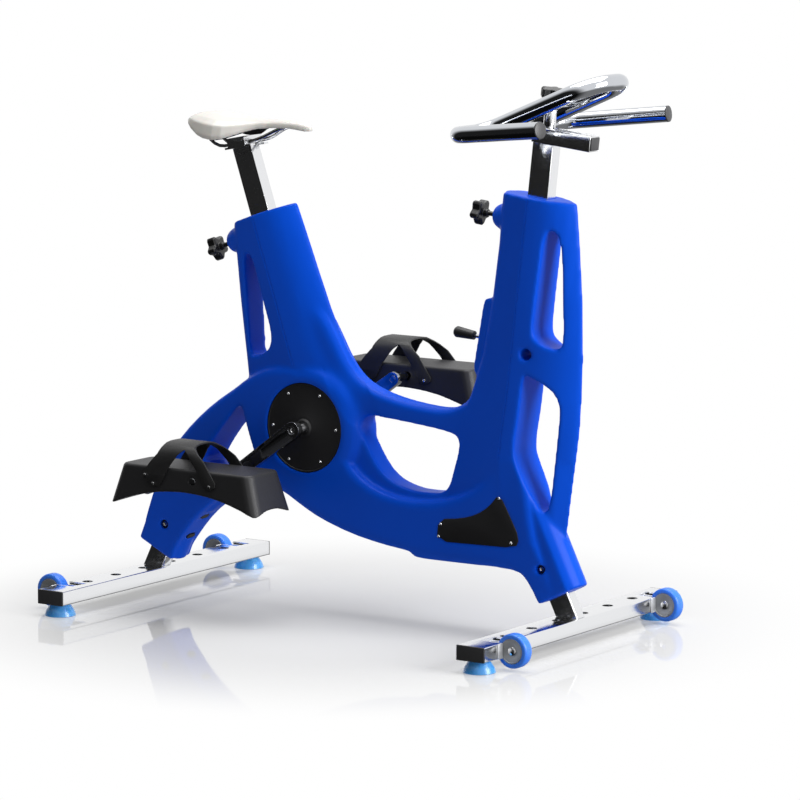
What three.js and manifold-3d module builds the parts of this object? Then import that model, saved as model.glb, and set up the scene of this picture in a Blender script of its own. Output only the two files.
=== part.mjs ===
// An aqua bike: a rotation-moulded frame on two stainless stabiliser bars with suction feet and
// transport wheels, a crank set with buoyant pedals, and a saddle and a handlebar on clamped posts.
// X runs forward, Y to the rider's left, Z up from the pool floor.
import * as THREE from 'three';
import { mergeVertices } from 'three/addons/utils/BufferGeometryUtils.js';
import Module from 'manifold-3d';

const wasm = await Module();
wasm.setup();

// Driving dimensions in millimetres
const barSpacing = 1025;
const barLength = 722;
const barWidth = 64;
const barHeight = 30;
const barWall = 2.5;
const shellHeight = 860;
const shellHalf = 46;
const webHalf = 26;
const postWidth = 46;
const postDepth = 30;
const postWall = 2.5;
const postCorner = 3;
const seatLean = THREE.MathUtils.degToRad(-18.65);
const frontLean = THREE.MathUtils.degToRad(6.43);
const legLean = THREE.MathUtils.degToRad(26);
const crankLength = 170;
const crankAngle = THREE.MathUtils.degToRad(35.2);
const wheelRadius = 34;
const wheelWidth = 25;

// Clearances and tessellation
const gap = 0.3;
const overrun = 4;
const weldTolerance = 1e-4;
const roundSegments = 32;
const pinSegments = 16;
const boltSegments = 10;
const footSegments = 20;
const discSegments = 16;
const tyreSegments = 28;
const drumSegments = 40;
const archSegments = 96;
const softPasses = 2;
const cornerShare = 0.25;

// Stabiliser bars
const drainCount = 6;
const drainPitch = 94.4;
const drainRadius = 11;
const capThickness = 3;
const plugDepth = 12;

// Suction feet
const footHeight = 25.5;
const footRadius = 32;
const footNeck = 20.5;
const footRim = 3;
const footInset = 33.5;
const footHollow = 9;

// Transport wheels and their brackets
const wheelInset = 76.5;
const axleReach = 20;
const treadRound = 4;
const tyreInner = 24.8;
const discDish = 4.5;
const discWall = 6;
const discHub = 10.5;
const axleRadius = 5;
const axleHeadRadius = 8.5;
const axleHeadHeight = 4.5;
const nutRadius = 8;
const nutHeight = 6;
const boltSpare = 1;
const notchDepth = 45;
const notchSide = 4.5;
const armRoom = 15;
const bracketPlate = 3;
const armThickness = 5;
const armRadius = 11;
const armGap = 1.5;
const lipWidth = 13;
const lipThickness = 2;

// Legs and the bolts that hold them in the shell's feet
const legWidth = 46;
const legDepth = 30;
const footPlane = 45;
const legTop = 195;
const footBoltHeight = 106;
const footBoltRadius = 4;
const footBoltHead = 7;
const footBoltHeadHeight = 6;
const footRecessRadius = 9;
const footRecessFloor = 29;

// Shell blending radii and plates
const plateauBevel = 14;
const webBevel = 10;
const skidHalf = 40;
const skidBevel = 4;
const bevelSteps = 2;
const frontFootHalf = 36;
const rearFootHalf = 34;
const frontTaper = 125;
const rearTaper = 285;
const flankSpare = 1;
const taperReach = 350;
const frontFootTop = 240;
const rearFootTop = 200;

// Hub, covers and crank set
const hubAt = [0.4019 * barSpacing, 0.4201 * shellHeight];
const drumHalf = 47;
const drumFace = 104;
const drumFlank = 132;
const drumFoot = 24;
const coverRadius = 89.5;
const coverFace = 40;
const coverPlate = 4;
const coverBoss = 17;
const coverBossHeight = 6.5;
const hubBore = 31;
const spindleRadius = 10;
const spindleEnd = 84;
const spindleNeck = 8.5;
const crankOuter = 88;
const crankThickness = 16;
const crankHubRadius = 17;
const crankEndRadius = 14;
const crankGroove = 3;
const crankGrooveEdge = 5.5;
const crankSteps = 7;
const pedalThreadRadius = 7;
const pedalFlangeRadius = 10;
const pedalFlange = 4;
const pedalAxleRadius = 7.5;

// Pedal floats and straps
const pedalInner = 117;
const pedalWidth = 130;
const pedalTopWidth = 110;
const pedalTopLength = 323;
const pedalBaseLength = 373;
const pedalBacks = { right: 23, left: 12 };
const pedalRise = 23;
const pedalDrop = 60;
const pedalMidDrop = 24;
const pedalEndArch = 11;
const pedalRound = 20;
const pedalRoundSteps = 4;
const pedalEdge = 4;
const pedalTip = 9;
const axleCover = 7;
const strapThickness = 3;
const strapCrown = 71;
const strapLength = 70;
const strapGap = 1.8;
const strapFoot = 20;
const strapSteps = 20;

// Seat and handlebar posts, measured along each post from its place in the column
const seatAt = [0.2768 * barSpacing, 0.9105 * shellHeight];
const frontAt = [0.9302 * barSpacing, 1 * shellHeight];
const seatShellTop = 6;
const seatPostTop = 150;
const postInsert = 190;
const seatTravel = 100;
const frontTravel = 90;
const postSpare = 5;
const seatClampDrop = 30;
const frontClampDrop = 53;
const bossRadius = 30;
const bossReach = 101;
const bossDome = 34;
const bossRoot = 60;

// Star knobs
const knobRadius = 26.5;
const knobThickness = 21;
const knobLobes = 5;
const knobLobeShare = 0.32;
const knobStandoff = 27;
const knobCollar = 8;
const knobShank = 5;
const knobEdge = 3;
const knobLobeSteps = 6;
const knobCollarLength = 9;

// Saddle, its rails and its clamp
const railRadius = 3.5;
const railHalf = 22;
const railRise = 2;
const railLean = THREE.MathUtils.degToRad(-11);
const cradleRadius = 20;
const cradleRise = 4;
const cradleBlock = 22;
const jawLength = 44;
const jawHalf = 31;
const jawTop = 15;
const jawSeat = 3;
const jawFloor = 7;
const jawLip = 4;
const jawBack = 30;
const jawFront = 36;
const saddleBehind = 110.4;
const saddleOver = 10.1;
const saddleLength = 277;
const saddleHalf = 78;
const saddleRise = 54;
const saddleSkin = 6;
const saddleBaseWall = 3;
const saddleSkirt = 0.14;
const saddleDrawIn = 0.955;
const saddlePower = 0.62;
const saddleArcSteps = 8;
const railSteps = 40;
const railSides = 8;
const saddleTip = 2;

// Handlebar, its stem and its clamp column
const stemBottom = 106.9;
const stemHeight = 30.5;
const stemWidth = 35;
const stemBack = 26;
const stemFront = 108;
const stemWall = 2.5;
const stemPlug = 2.5;
const stemPlugDepth = 14;
const columnRadius = 12.5;
const columnAt = 1.5;
const columnNeck = 4;
const columnBore = 22;
const bridgeBottom = 178;
const nutBlockHalf = 12;
const slotWidth = 9;
const carriageTravel = 70;
const nutBlock = 15;
const tubeRadius = 16.5;
const bridgeThickness = 8;
const bridgeWidth = 30;
const bridgeHalf = 66;
const gripSpread = 236.7;
const apexRadius = 62;
const arcSteps = 7;
const handlebarSteps = 66;
const tubeSides = 12;
const gripPlug = 3;
const plugRadius = 12;
const plugInsert = 16;
const bendRadius = 55;
const innerBend = 42;

// Resistance lever
const leverAt = [0.8371 * barSpacing, 0.6599 * shellHeight];
const leverSwing = THREE.MathUtils.degToRad(14);
const leverHub = 9;
const leverSlot = 11;
const leverNeck = 4.5;
const leverGripStart = 61;
const leverGripLength = 46;
const leverGripRadius = 11.5;
const leverInsert = 32;
const leverReach = 75;
const leverGap = 1.5;
const padHalf = 22;

// Side-view points are shares of the bar spacing (forward) and of the shell's height (up)
const sidePoint = ([x, z]) => [x * barSpacing, z * shellHeight];

// Closed outlines of the shell in side view
const plateauShares = [
  [-0.041, 0.0233], [-0.0205, 0.1023], [-0.0078, 0.1419], [0.0049, 0.186], [0.0234, 0.2442],
  [0.0468, 0.3], [0.078, 0.3512], [0.122, 0.407], [0.1737, 0.4581], [0.2283, 0.5], [0.2517, 0.5209],
  [0.2927, 0.5488], [0.3366, 0.5605], [0.3854, 0.5628], [0.4293, 0.5465], [0.478, 0.4767],
  [0.4927, 0.3953], [0.5073, 0.3442], [0.5463, 0.3047], [0.6049, 0.2791], [0.6829, 0.2744],
  [0.7561, 0.2907], [0.8146, 0.3256], [0.8507, 0.3791], [0.8663, 0.4535], [0.8761, 0.5233],
  [0.8956, 0.5465], [0.9093, 0.4651], [0.9268, 0.3488], [0.9415, 0.2326], [0.9659, 0.1512],
  [0.9854, 0.0698], [0.9659, 0.0233], [0.9405, 0.0791], [0.919, 0.1209], [0.8927, 0.1407],
  [0.839, 0.1395], [0.761, 0.1395], [0.6829, 0.1419], [0.6439, 0.1512], [0.5815, 0.1593],
  [0.5083, 0.1756], [0.4341, 0.2035], [0.3902, 0.2291], [0.3463, 0.2581], [0.3024, 0.2767],
  [0.2585, 0.2721], [0.2156, 0.2477], [0.1678, 0.2116], [0.1268, 0.1721], [0.0907, 0.1233],
  [0.0624, 0.0744], [0.0537, 0.0116], [0, -0.0233],
];
const webShares = [
  [0.2556, 0.4884], [0.2459, 0.5814], [0.2556, 0.6512], [0.2927, 0.7209], [0.3707, 0.7442],
  [0.4293, 0.6977], [0.4585, 0.6419], [0.482, 0.5907], [0.5073, 0.5535], [0.5366, 0.5302],
  [0.5707, 0.5151], [0.6195, 0.5023], [0.6732, 0.4942], [0.7171, 0.4919], [0.7463, 0.4988],
  [0.7707, 0.5151], [0.7863, 0.5407], [0.802, 0.5814], [0.8293, 0.6395], [0.878, 0.686],
  [0.9366, 0.6512], [0.9512, 0.5116], [0.9415, 0.3488], [0.9268, 0.2093], [0.8829, 0.1488],
  [0.761, 0.1488], [0.6507, 0.1581], [0.5815, 0.1674], [0.5083, 0.1837], [0.4341, 0.2116],
  [0.3902, 0.236], [0.3463, 0.2651], [0.3024, 0.2826], [0.2585, 0.2744], [0.2195, 0.2465],
  [0.1756, 0.2093], [0.1366, 0.1744], [0.0585, 0.2093], [0.0585, 0.2907], [0.1073, 0.3721],
  [0.1659, 0.4302], [0.2146, 0.4767],
];
const skidShares = [
  [0.6439, 0.1651], [0.6556, 0.1407], [0.6732, 0.1372], [0.761, 0.1372], [0.878, 0.1384],
  [0.9122, 0.1291], [0.9385, 0.1465], [0.9366, 0.186], [0.7805, 0.1977],
];
const padShares = [
  [0.8507, 0.7674], [0.8137, 0.7581], [0.8088, 0.7395], [0.7873, 0.5953], [0.7922, 0.5814],
  [0.839, 0.5558],
];

// Rims of the openings that pass right through the shell
const rearSlotShares = [
  [0.2478, 0.8233], [0.2615, 0.8244], [0.2732, 0.8], [0.2946, 0.7151], [0.3171, 0.6337],
  [0.3102, 0.5977], [0.279, 0.5779], [0.2595, 0.5767], [0.2556, 0.6512], [0.2498, 0.7442],
];
const rearTriangleShares = [
  [0.2459, 0.4674], [0.2556, 0.4256], [0.2673, 0.3837], [0.281, 0.3395], [0.2751, 0.307],
  [0.2263, 0.2953], [0.1737, 0.3], [0.1463, 0.314], [0.162, 0.3465], [0.1854, 0.3837], [0.2127, 0.4209],
];
const centralShares = [
  [0.5229, 0.4279], [0.5298, 0.4535], [0.5463, 0.4616], [0.6244, 0.4547], [0.7385, 0.4407],
  [0.759, 0.4256], [0.7571, 0.3953], [0.7434, 0.3465], [0.7337, 0.3116], [0.718, 0.2953],
  [0.6829, 0.2919], [0.639, 0.2942], [0.5951, 0.3105], [0.5659, 0.3395], [0.5385, 0.3907],
];
const upperSlotShares = [
  [0.958, 0.9279], [0.9805, 0.9256], [0.9883, 0.8837], [0.9902, 0.8023], [0.9932, 0.6744],
  [0.9854, 0.6535], [0.9512, 0.664], [0.9317, 0.686], [0.9385, 0.7442], [0.9463, 0.814],
];
const lowerSlotShares = [
  [0.9151, 0.5953], [0.9288, 0.5907], [0.9659, 0.5663], [0.9815, 0.5442], [0.9863, 0.5116],
  [0.9756, 0.4], [0.9639, 0.286], [0.9502, 0.2721], [0.9317, 0.3116], [0.8985, 0.3907],
  [0.8937, 0.4244], [0.9073, 0.5116],
];
const roundHoleAt = [0.92 * barSpacing, 0.6407 * shellHeight];
const roundHoleRadius = 12;
const coverShares = [
  [0.8644, 0.314], [0.841, 0.2802], [0.8117, 0.2581], [0.7756, 0.2453], [0.7239, 0.2384],
  [0.719, 0.186], [0.8098, 0.1884], [0.9024, 0.1907], [0.9112, 0.214], [0.8898, 0.2628],
];
const coverThickness = 3;
const drainHoleRadius = 4;
const drainHoleFloor = 20;
const slotRadius = 5.5;
const slotHalf = 7.5;
const slotDepth = 12;

// Column stations: height, rear end, rear corner, crease, nose (shares), then corner and crease half widths
const seatStationShares = [
  [1.0233, 0.201, 0.2166, 0.2439, 0.3307, 0.717, 0.913],
  [0.9488, 0.2078, 0.2234, 0.2644, 0.3561, 0.717, 0.913],
  [0.8721, 0.2137, 0.2302, 0.2859, 0.3824, 0.717, 0.913],
  [0.7907, 0.2205, 0.2371, 0.3093, 0.4098, 0.696, 0.913],
  [0.7058, 0.2273, 0.2439, 0.3337, 0.439, 0.674, 0.913],
  [0.6256, 0.2351, 0.2517, 0.3561, 0.4702, 0.652, 0.913],
  [0.5674, 0.241, 0.2576, 0.3727, 0.5024, 0.63, 0.913],
  [0.5, 0.2468, 0.2644, 0.3922, 0.5424, 0.609, 0.913],
];
const frontStationShares = [
  [1.0523, 0.8566, 0.8751, 0.9298, 1.0117, 0.739, 0.957],
  [0.9826, 0.8507, 0.8683, 0.9229, 1.0117, 0.739, 0.957],
  [0.8895, 0.8439, 0.8615, 0.9141, 1.0185, 0.739, 0.967],
  [0.764, 0.8293, 0.8468, 0.9024, 1.0254, 0.739, 0.978],
  [0.6314, 0.8078, 0.8254, 0.8898, 1.0273, 0.717, 1],
  [0.5349, 0.7805, 0.7922, 0.881, 1.0244, 0.652, 1.043],
  [0.4651, 0.7512, 0.7629, 0.8712, 1.0205, 0.587, 1.043],
  [0.3953, 0.7366, 0.7463, 0.8634, 1.0127, 0.565, 1.043],
  [0.314, 0.7268, 0.7366, 0.8634, 1.0029, 0.565, 1.022],
  [0.2209, 0.7415, 0.7512, 0.8634, 0.9922, 0.565, 0.957],
  [0.1512, 0.7805, 0.7902, 0.8683, 0.9815, 0.565, 0.826],
];
const noseSteps = 5;
const nosePower = 0.85;
const cornerSteps = 3;

// Sections of the two feet across the leg, as shares of the leg's width and depth
const frontFootShares = [[-0.826, 1.167], [0.804, 1.233], [1.087, 0.867], [1.261, 0.333]];
const rearFootShares = [[-1.043, 0.967], [0, 1.167], [0.783, 1.033], [1.022, 0.667], [1.13, 0.25]];

// Places on the strap in side view (from the pedal axle) as shares of its unit
const strapShares = [
  [-1.79, 0.1], [-1.55, 0.43], [-1.3, 0.72], [-1.22, 0.95], [-1.22, 1.2], [-0.2, 1.2], [-0.12, 0.95],
  [0.1, 0.8], [0.38, 0.6], [0.84, 0.02], [0.84, -0.1], [0.68, -0.2], [0.48, -0.17], [0.38, 0],
  [0.07, 0.43], [-0.26, 0.79], [-0.41, 0.88], [-0.6, 0.71], [-0.89, 0.29], [-1.04, -0.05],
  [-1.15, -0.2], [-1.35, -0.26], [-1.62, -0.1],
];
const strapArchShares = [[0.985, 0.55], [0.9, 0.76], [0.72, 0.9], [0.46, 0.98], [0, 1]];

// Saddle stations: place along the length, half width, crown and rim heights, all as shares
const saddleStationShares = [
  [0, 0.62, 0.83, 0.61], [0.03, 0.74, 0.94, 0.5], [0.07, 0.84, 0.99, 0.36], [0.14, 0.93, 1, 0.15],
  [0.21, 0.985, 0.98, 0.04], [0.29, 1, 0.92, 0], [0.36, 0.93, 0.86, 0.05], [0.43, 0.76, 0.82, 0.18],
  [0.5, 0.56, 0.8, 0.32], [0.57, 0.41, 0.79, 0.43], [0.66, 0.31, 0.8, 0.48], [0.76, 0.26, 0.81, 0.5],
  [0.85, 0.22, 0.79, 0.49], [0.92, 0.19, 0.75, 0.45], [0.97, 0.14, 0.69, 0.41], [1, 0.07, 0.61, 0.43],
];

// Drain hole in each side of the shell, and the two drain slots in the front wall of the rear foot
const drainShares = [
  [0.3063, 0.3279],
];
const slotShares = [
  [0.122, 0.1698], [0.0859, 0.1174],
];

// Corners of the handlebar's half: forward and up as shares of the bar spacing, across of the grip spread
const handlebarShares = [
  [0.1237, 1, 0.1647], [-0.0971, 0.845, 0.1167], [-0.0912, 0.3464, 0.1164], [0.1295, 0.3084, 0.2406],
];

// Half of the rail wire from the clamp's middle: forward, across (of the saddle's half width) and up
const railShares = [
  [-0.0731, 0.282, 0.066], [-0.0754, 0.282, 0.0515], [-0.0721, 0.282, 0.03], [-0.0631, 0.282, 0.0153],
  [-0.0468, 0.282, 0.0043], [-0.0332, 0.282, 0.002], [-0.0195, 0.282, 0.002], [0, 0.282, 0.002],
  [0.0195, 0.282, 0.002], [0.0332, 0.282, 0.002], [0.0541, 0.269, 0.0045], [0.073, 0.218, 0.0097],
  [0.0898, 0.16, 0.0144], [0.1042, 0.115, 0.0171], [0.1144, 0.064, 0.0181], [0.1184, 0, 0.0183],
];

// Blocks under the saddle that hold the wire: along, across and lowest height as shares
const railBlockShares = [
  [0.06, 0.12, -0.4, -0.16, 0.45], [0.06, 0.12, 0.16, 0.4, 0.45], [0.77, 0.85, -0.14, 0.14, 0.52],
];

const material = (color, roughness, metalness) => new THREE.MeshStandardMaterial({
  color, roughness, metalness,
});
const looks = {
  shell: [0x0b3fb8, 0.42, 0],
  steel: [0xc9ccd0, 0.14, 1],
  black: [0x1b1b1d, 0.5, 0],
  rubber: [0x202022, 0.75, 0],
  tyre: [0x2f78f0, 0.45, 0],
  cup: [0x3f9be8, 0.35, 0],
  saddle: [0xe8e4dc, 0.35, 0],
  crank: [0x26262a, 0.3, 0.8],
};

const bike = new THREE.Group();
bike.name = 'aqua_bike';

// Frames: a leaning axis through a place in the side view
function frameAt([x, z], lean) {
  return new THREE.Matrix4().makeRotationY(lean).setPosition(x, 0, z);
}
const rootFrame = new THREE.Matrix4();
const seatFrame = frameAt(seatAt, seatLean);
const frontFrame = frameAt(frontAt, frontLean);
const rearLegFrame = frameAt([0, barHeight], legLean);
const frontLegFrame = frameAt([barSpacing, barHeight], -legLean);

// Closed solid with its faces turned outward
function solid(geometry, frame = rootFrame) {
  geometry.applyMatrix4(frame);
  for (const extra of ['normal', 'uv']) geometry.deleteAttribute(extra);
  const welded = mergeVertices(geometry, weldTolerance);
  const points = welded.attributes.position;
  const corners = welded.index.array;
  const kept = [];
  let volume = 0;
  for (let i = 0; i < corners.length; i += 3) {
    const [a, b, c] = corners.slice(i, i + 3);
    if (a === b || b === c || c === a) continue;
    kept.push(a, b, c);
    const [p, q, r] = [a, b, c].map((n) => new THREE.Vector3().fromBufferAttribute(points, n));
    volume += p.dot(q.cross(r));
  }
  if (volume < 0) kept.reverse();
  return new wasm.Manifold(new wasm.Mesh({
    numProp: 3,
    vertProperties: new Float32Array(points.array),
    triVerts: new Uint32Array(kept),
  }));
}

const join = (first, ...rest) => rest.reduce((whole, next) => whole.add(next), first);
const cut = (first, ...rest) => rest.reduce((whole, next) => whole.subtract(next), first);

// A range of distances on one side (+1 or -1) of a centre line
const span = (side, a, b) => (side > 0 ? [a, b] : [-b, -a]);

function block([x0, x1], [y0, y1], [z0, z1], frame) {
  const geometry = new THREE.BoxGeometry(x1 - x0, y1 - y0, z1 - z0);
  geometry.translate((x0 + x1) / 2, (y0 + y1) / 2, (z0 + z1) / 2);
  return solid(geometry, frame);
}

// Turn a geometry built about the Y axis to another axis and move it to a place
function aim(geometry, axis, [x, y, z]) {
  if (axis === 'x') geometry.rotateZ(-Math.PI / 2);
  if (axis === 'z') geometry.rotateX(Math.PI / 2);
  geometry.translate(x, y, z);
  return geometry;
}

function rod(axis, radius, [from, to], place = [0, 0, 0], frame = rootFrame, segments = roundSegments) {
  const geometry = new THREE.CylinderGeometry(radius, radius, to - from, segments);
  geometry.translate(0, (from + to) / 2, 0);
  return solid(aim(geometry, axis, place), frame);
}

// Profile points are radius and height along the axis
function turned(axis, profile, place = [0, 0, 0], frame = rootFrame, segments = roundSegments) {
  const points = profile.map(([radius, height]) => new THREE.Vector2(radius, height));
  return solid(aim(new THREE.LatheGeometry(points, segments), axis, place), frame);
}

// Corner-cutting that rounds a closed outline
function soften(outline, passes = softPasses) {
  let points = outline;
  for (let pass = 0; pass < passes; pass += 1) {
    points = points.flatMap(([x, z], i) => {
      const [nx, nz] = points[(i + 1) % points.length];
      const near = [x + (nx - x) * cornerShare, z + (nz - z) * cornerShare];
      const far = [nx - (nx - x) * cornerShare, nz - (nz - z) * cornerShare];
      return [near, far];
    });
  }
  return points;
}

// Closed outline moved outward by a distance
function grow(outline, distance) {
  const turn = Math.sign(THREE.ShapeUtils.area(outline.map(([x, z]) => new THREE.Vector2(x, z))));
  return outline.map(([x, z], i) => {
    const [px, pz] = outline[(i + outline.length - 1) % outline.length];
    const [nx, nz] = outline[(i + 1) % outline.length];
    const before = new THREE.Vector2(z - pz, px - x).normalize();
    const after = new THREE.Vector2(nz - z, x - nx).normalize();
    const bisector = before.clone().add(after).normalize();
    const reach = (turn * distance) / Math.max(bisector.dot(after), cornerShare);
    return [x + bisector.x * reach, z + bisector.y * reach];
  });
}

const shapeOf = (outline) => new THREE.Shape(outline.map(([x, z]) => new THREE.Vector2(x, z)));

// Side-view outline extruded across the bike between two Y values
function slab(outline, [y0, y1], frame) {
  const geometry = new THREE.ExtrudeGeometry(shapeOf(outline), { depth: y1 - y0, bevelEnabled: false });
  geometry.rotateX(Math.PI / 2);
  geometry.translate(0, y1, 0);
  return solid(geometry, frame);
}

// Skin over matching rings of points; the cap triangles close it at both ends
function loft(rings, frame, cap = null) {
  const size = rings[0].length;
  const fan = Array.from({ length: size - 2 }, (_, i) => [0, i + 1, i + 2]);
  const faces = [];
  for (let ring = 0; ring + 1 < rings.length; ring += 1) {
    for (let i = 0; i < size; i += 1) {
      const [a, b] = [ring * size + i, ring * size + ((i + 1) % size)];
      faces.push(a, b, b + size, a, b + size, a + size);
    }
  }
  const last = (rings.length - 1) * size;
  for (const [a, b, c] of cap ?? fan) faces.push(b, a, c, a + last, b + last, c + last);
  const geometry = new THREE.BufferGeometry().setFromPoints(rings.flat());
  geometry.setIndex(faces);
  return solid(geometry, frame);
}

// Side-view outline centred on the bike's middle plane with rounded edges
function softSlab(outline, half, bevel, steps, frame) {
  const layers = [];
  for (let step = 0; step <= steps; step += 1) {
    const turn = (step / steps) * (Math.PI / 2);
    layers.push([half - bevel + bevel * Math.cos(turn), bevel * (1 - Math.sin(turn))]);
  }
  const all = [...layers, ...layers.slice().reverse().map(([y, inset]) => [-y, inset])];
  const rings = all.map(([y, inset]) => grow(outline, -inset).map(([x, z]) => new THREE.Vector3(x, y, z)));
  const cap = THREE.ShapeUtils.triangulateShape(outline.map(([x, z]) => new THREE.Vector2(x, z)), []);
  const turned = THREE.ShapeUtils.area(outline.map(([x, z]) => new THREE.Vector2(x, z))) < 0;
  return loft(rings, frame, turned ? cap.map(([a, b, c]) => [c, b, a]) : cap);
}

// Round tube along a path of points, with its corners taken as bends
function bentRod(points, radius, sides, steps, frame) {
  const circle = Array.from({ length: sides }, (_, i) => {
    const angle = (i / sides) * 2 * Math.PI;
    return new THREE.Vector2(radius * Math.cos(angle), radius * Math.sin(angle));
  });
  const path = new THREE.CatmullRomCurve3(points, false, 'centripetal');
  const options = { steps, extrudePath: path, bevelEnabled: false };
  return solid(new THREE.ExtrudeGeometry(new THREE.Shape(circle), options), frame);
}

// Polyline whose inner corners are replaced by arcs drawn with a given radius
function bend(corners, radii) {
  const path = [corners[0]];
  corners.slice(1, -1).forEach((corner, i) => {
    const before = corners[i].clone().sub(corner).normalize();
    const after = corners[i + 2].clone().sub(corner).normalize();
    const half = before.angleTo(after) / 2;
    const reach = radii[i] / Math.tan(half);
    const bisector = before.clone().add(after).normalize();
    const centre = corner.clone().addScaledVector(bisector, radii[i] / Math.sin(half));
    const start = corner.clone().addScaledVector(before, reach).sub(centre);
    const axis = start.clone().cross(corner.clone().addScaledVector(after, reach).sub(centre)).normalize();
    for (let step = 0; step <= arcSteps; step += 1) {
      const turn = (Math.PI - 2 * half) * (step / arcSteps);
      path.push(start.clone().applyAxisAngle(axis, turn).add(centre));
    }
  });
  path.push(corners.at(-1));
  return path;
}

function add(name, shape, look) {
  const { vertProperties, triVerts } = shape.getMesh();
  const geometry = new THREE.BufferGeometry();
  geometry.setAttribute('position', new THREE.BufferAttribute(new Float32Array(vertProperties), 3));
  geometry.setIndex(new THREE.BufferAttribute(new Uint32Array(triVerts), 1));
  geometry.computeVertexNormals();
  const mesh = new THREE.Mesh(geometry, material(...looks[look]));
  mesh.name = name;
  bike.add(mesh);
}

// Rectangular tube standing along the third axis of a frame
function tube(width, depth, wall, [low, high], frame) {
  const outer = block([-width / 2, width / 2], [-depth / 2, depth / 2], [low, high], frame);
  const inside = [width / 2 - wall, depth / 2 - wall];
  const bore = block(
    [-inside[0], inside[0]], [-inside[1], inside[1]], [low - overrun, high + overrun], frame,
  );
  return cut(outer, bore);
}

const sides = [['right', -1], ['left', 1]];
const ends = [['front', 1, barSpacing], ['rear', -1, 0]];
const wheelY = barLength / 2 - wheelInset;
const cupY = barLength / 2 - footInset;
const axleX = barWidth / 2 + axleReach;
const armFrom = wheelWidth / 2 + armGap;
const notchBack = barWidth / 2 - notchDepth;
const placeAt = (x, y, z) => new THREE.Matrix4().makeTranslation(x, y, z);

// Stabiliser bars with drain holes in the top and a notch for each wheel
function stabiliser(out, barX) {
  const frame = placeAt(barX, 0, 0);
  const reach = barLength / 2 - capThickness - gap;
  const inner = [barWidth / 2 - barWall, barHeight - barWall];
  let bar = block([-barWidth / 2, barWidth / 2], [-reach, reach], [0, barHeight], frame);
  bar = cut(bar, block([-inner[0], inner[0]], [-barLength, barLength], [barWall, inner[1]], frame));
  for (let i = 0; i < drainCount; i += 1) {
    const y = (i - (drainCount - 1) / 2) * drainPitch;
    const hole = rod('z', drainRadius, [barHeight / 2, barHeight + overrun], [0, y, 0], frame, boltSegments);
    bar = cut(bar, hole);
  }
  for (const [, side] of sides) {
    const across = [-wheelWidth / 2 - notchSide, wheelWidth / 2 + armRoom];
    const notch = block(
      span(out, notchBack, barWidth / 2 + overrun),
      across,
      [-overrun, barHeight + overrun],
      placeAt(barX, side * wheelY, 0),
    );
    bar = cut(bar, notch);
  }
  return bar;
}

// End cap of a bar with the plug that fills the tube
function endCap(side, frame) {
  const plug = [barWidth / 2 - barWall - gap, barWall + gap, barHeight - barWall - gap];
  const face = barLength / 2 - capThickness;
  return join(
    block([-barWidth / 2, barWidth / 2], span(side, face, barLength / 2), [0, barHeight], frame),
    block([-plug[0], plug[0]], span(side, face - plugDepth, face + overrun / 2), [plug[1], plug[2]], frame),
  );
}

// Suction foot, hollow underneath, with its neck against the bar
function suctionFoot(frame) {
  const under = -footHeight;
  return turned('z', [
    [0, under + footHollow],
    [footRadius * 0.78, under + footHollow * 0.35],
    [footRadius - footRim, under],
    [footRadius, under],
    [footRadius * 0.94, under + footHeight * 0.28],
    [footRadius * 0.8, under + footHeight * 0.6],
    [footNeck, -gap],
    [0, -gap],
  ], [0, 0, 0], frame, footSegments);
}

function wheelBracket(out, frame) {
  const back = notchBack + gap;
  const face = barWidth / 2 + gap;
  const left = -wheelWidth / 2 - notchSide;
  const bracket = join(
    block(span(out, back, back + bracketPlate), [left + gap, armFrom + armThickness], [0, barHeight], frame),
    block(
      span(out, back, face + lipThickness), [left + gap, left + gap + bracketPlate], [0, barHeight],
      frame,
    ),
    block(
      span(out, face, face + lipThickness),
      [left - lipWidth, left + gap + bracketPlate],
      [0, barHeight],
      frame,
    ),
    block(
      span(out, back, axleX),
      [armFrom, armFrom + armThickness],
      [barHeight / 2 - armRadius, barHeight / 2 + armRadius],
      frame,
    ),
    rod(
      'y', armRadius, [armFrom, armFrom + armThickness], [out * axleX, 0, barHeight / 2], frame,
      boltSegments,
    ),
  );
  const bore = rod(
    'y', axleRadius + gap, [armFrom - overrun, armFrom + armThickness + overrun],
    [out * axleX, 0, barHeight / 2], frame, boltSegments,
  );
  return cut(bracket, bore);
}

function axleBolt(frame) {
  const headTop = -wheelWidth / 2 + discDish - gap;
  const nut = armFrom + armThickness + gap;
  return join(
    rod('y', axleHeadRadius, [headTop - axleHeadHeight, headTop], [0, 0, 0], frame, boltSegments),
    rod(
      'y', axleRadius, [headTop - axleHeadHeight / 2, nut + nutHeight + boltSpare], [0, 0, 0],
      frame, boltSegments,
    ),
    rod('y', nutRadius, [nut, nut + nutHeight], [0, 0, 0], frame, 6),
  );
}

function wheelDisc(frame) {
  const rim = tyreInner - gap;
  const half = wheelWidth / 2;
  const bore = axleRadius + gap;
  return turned('y', [
    [bore, discDish - half],
    [discHub, discDish - half],
    [rim * 0.93, discDish * 0.12 - half],
    [rim, -half],
    [rim, half - discDish / 3],
    [rim * 0.87, half - discDish / 3],
    [rim * 0.8, discWall - half + discDish / 3],
    [discHub * 1.12, discWall - half + discDish],
    [discHub, armFrom - gap],
    [bore, armFrom - gap],
    [bore, discDish - half],
  ], [0, 0, 0], frame, discSegments);
}

function wheelTyre(frame) {
  const half = wheelWidth / 2;
  return turned('y', [
    [tyreInner, -half],
    [wheelRadius - treadRound, -half],
    [wheelRadius, treadRound - half],
    [wheelRadius, half - treadRound],
    [wheelRadius - treadRound, half],
    [tyreInner, half],
    [tyreInner, -half],
  ], [0, 0, 0], frame, tyreSegments);
}

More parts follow.
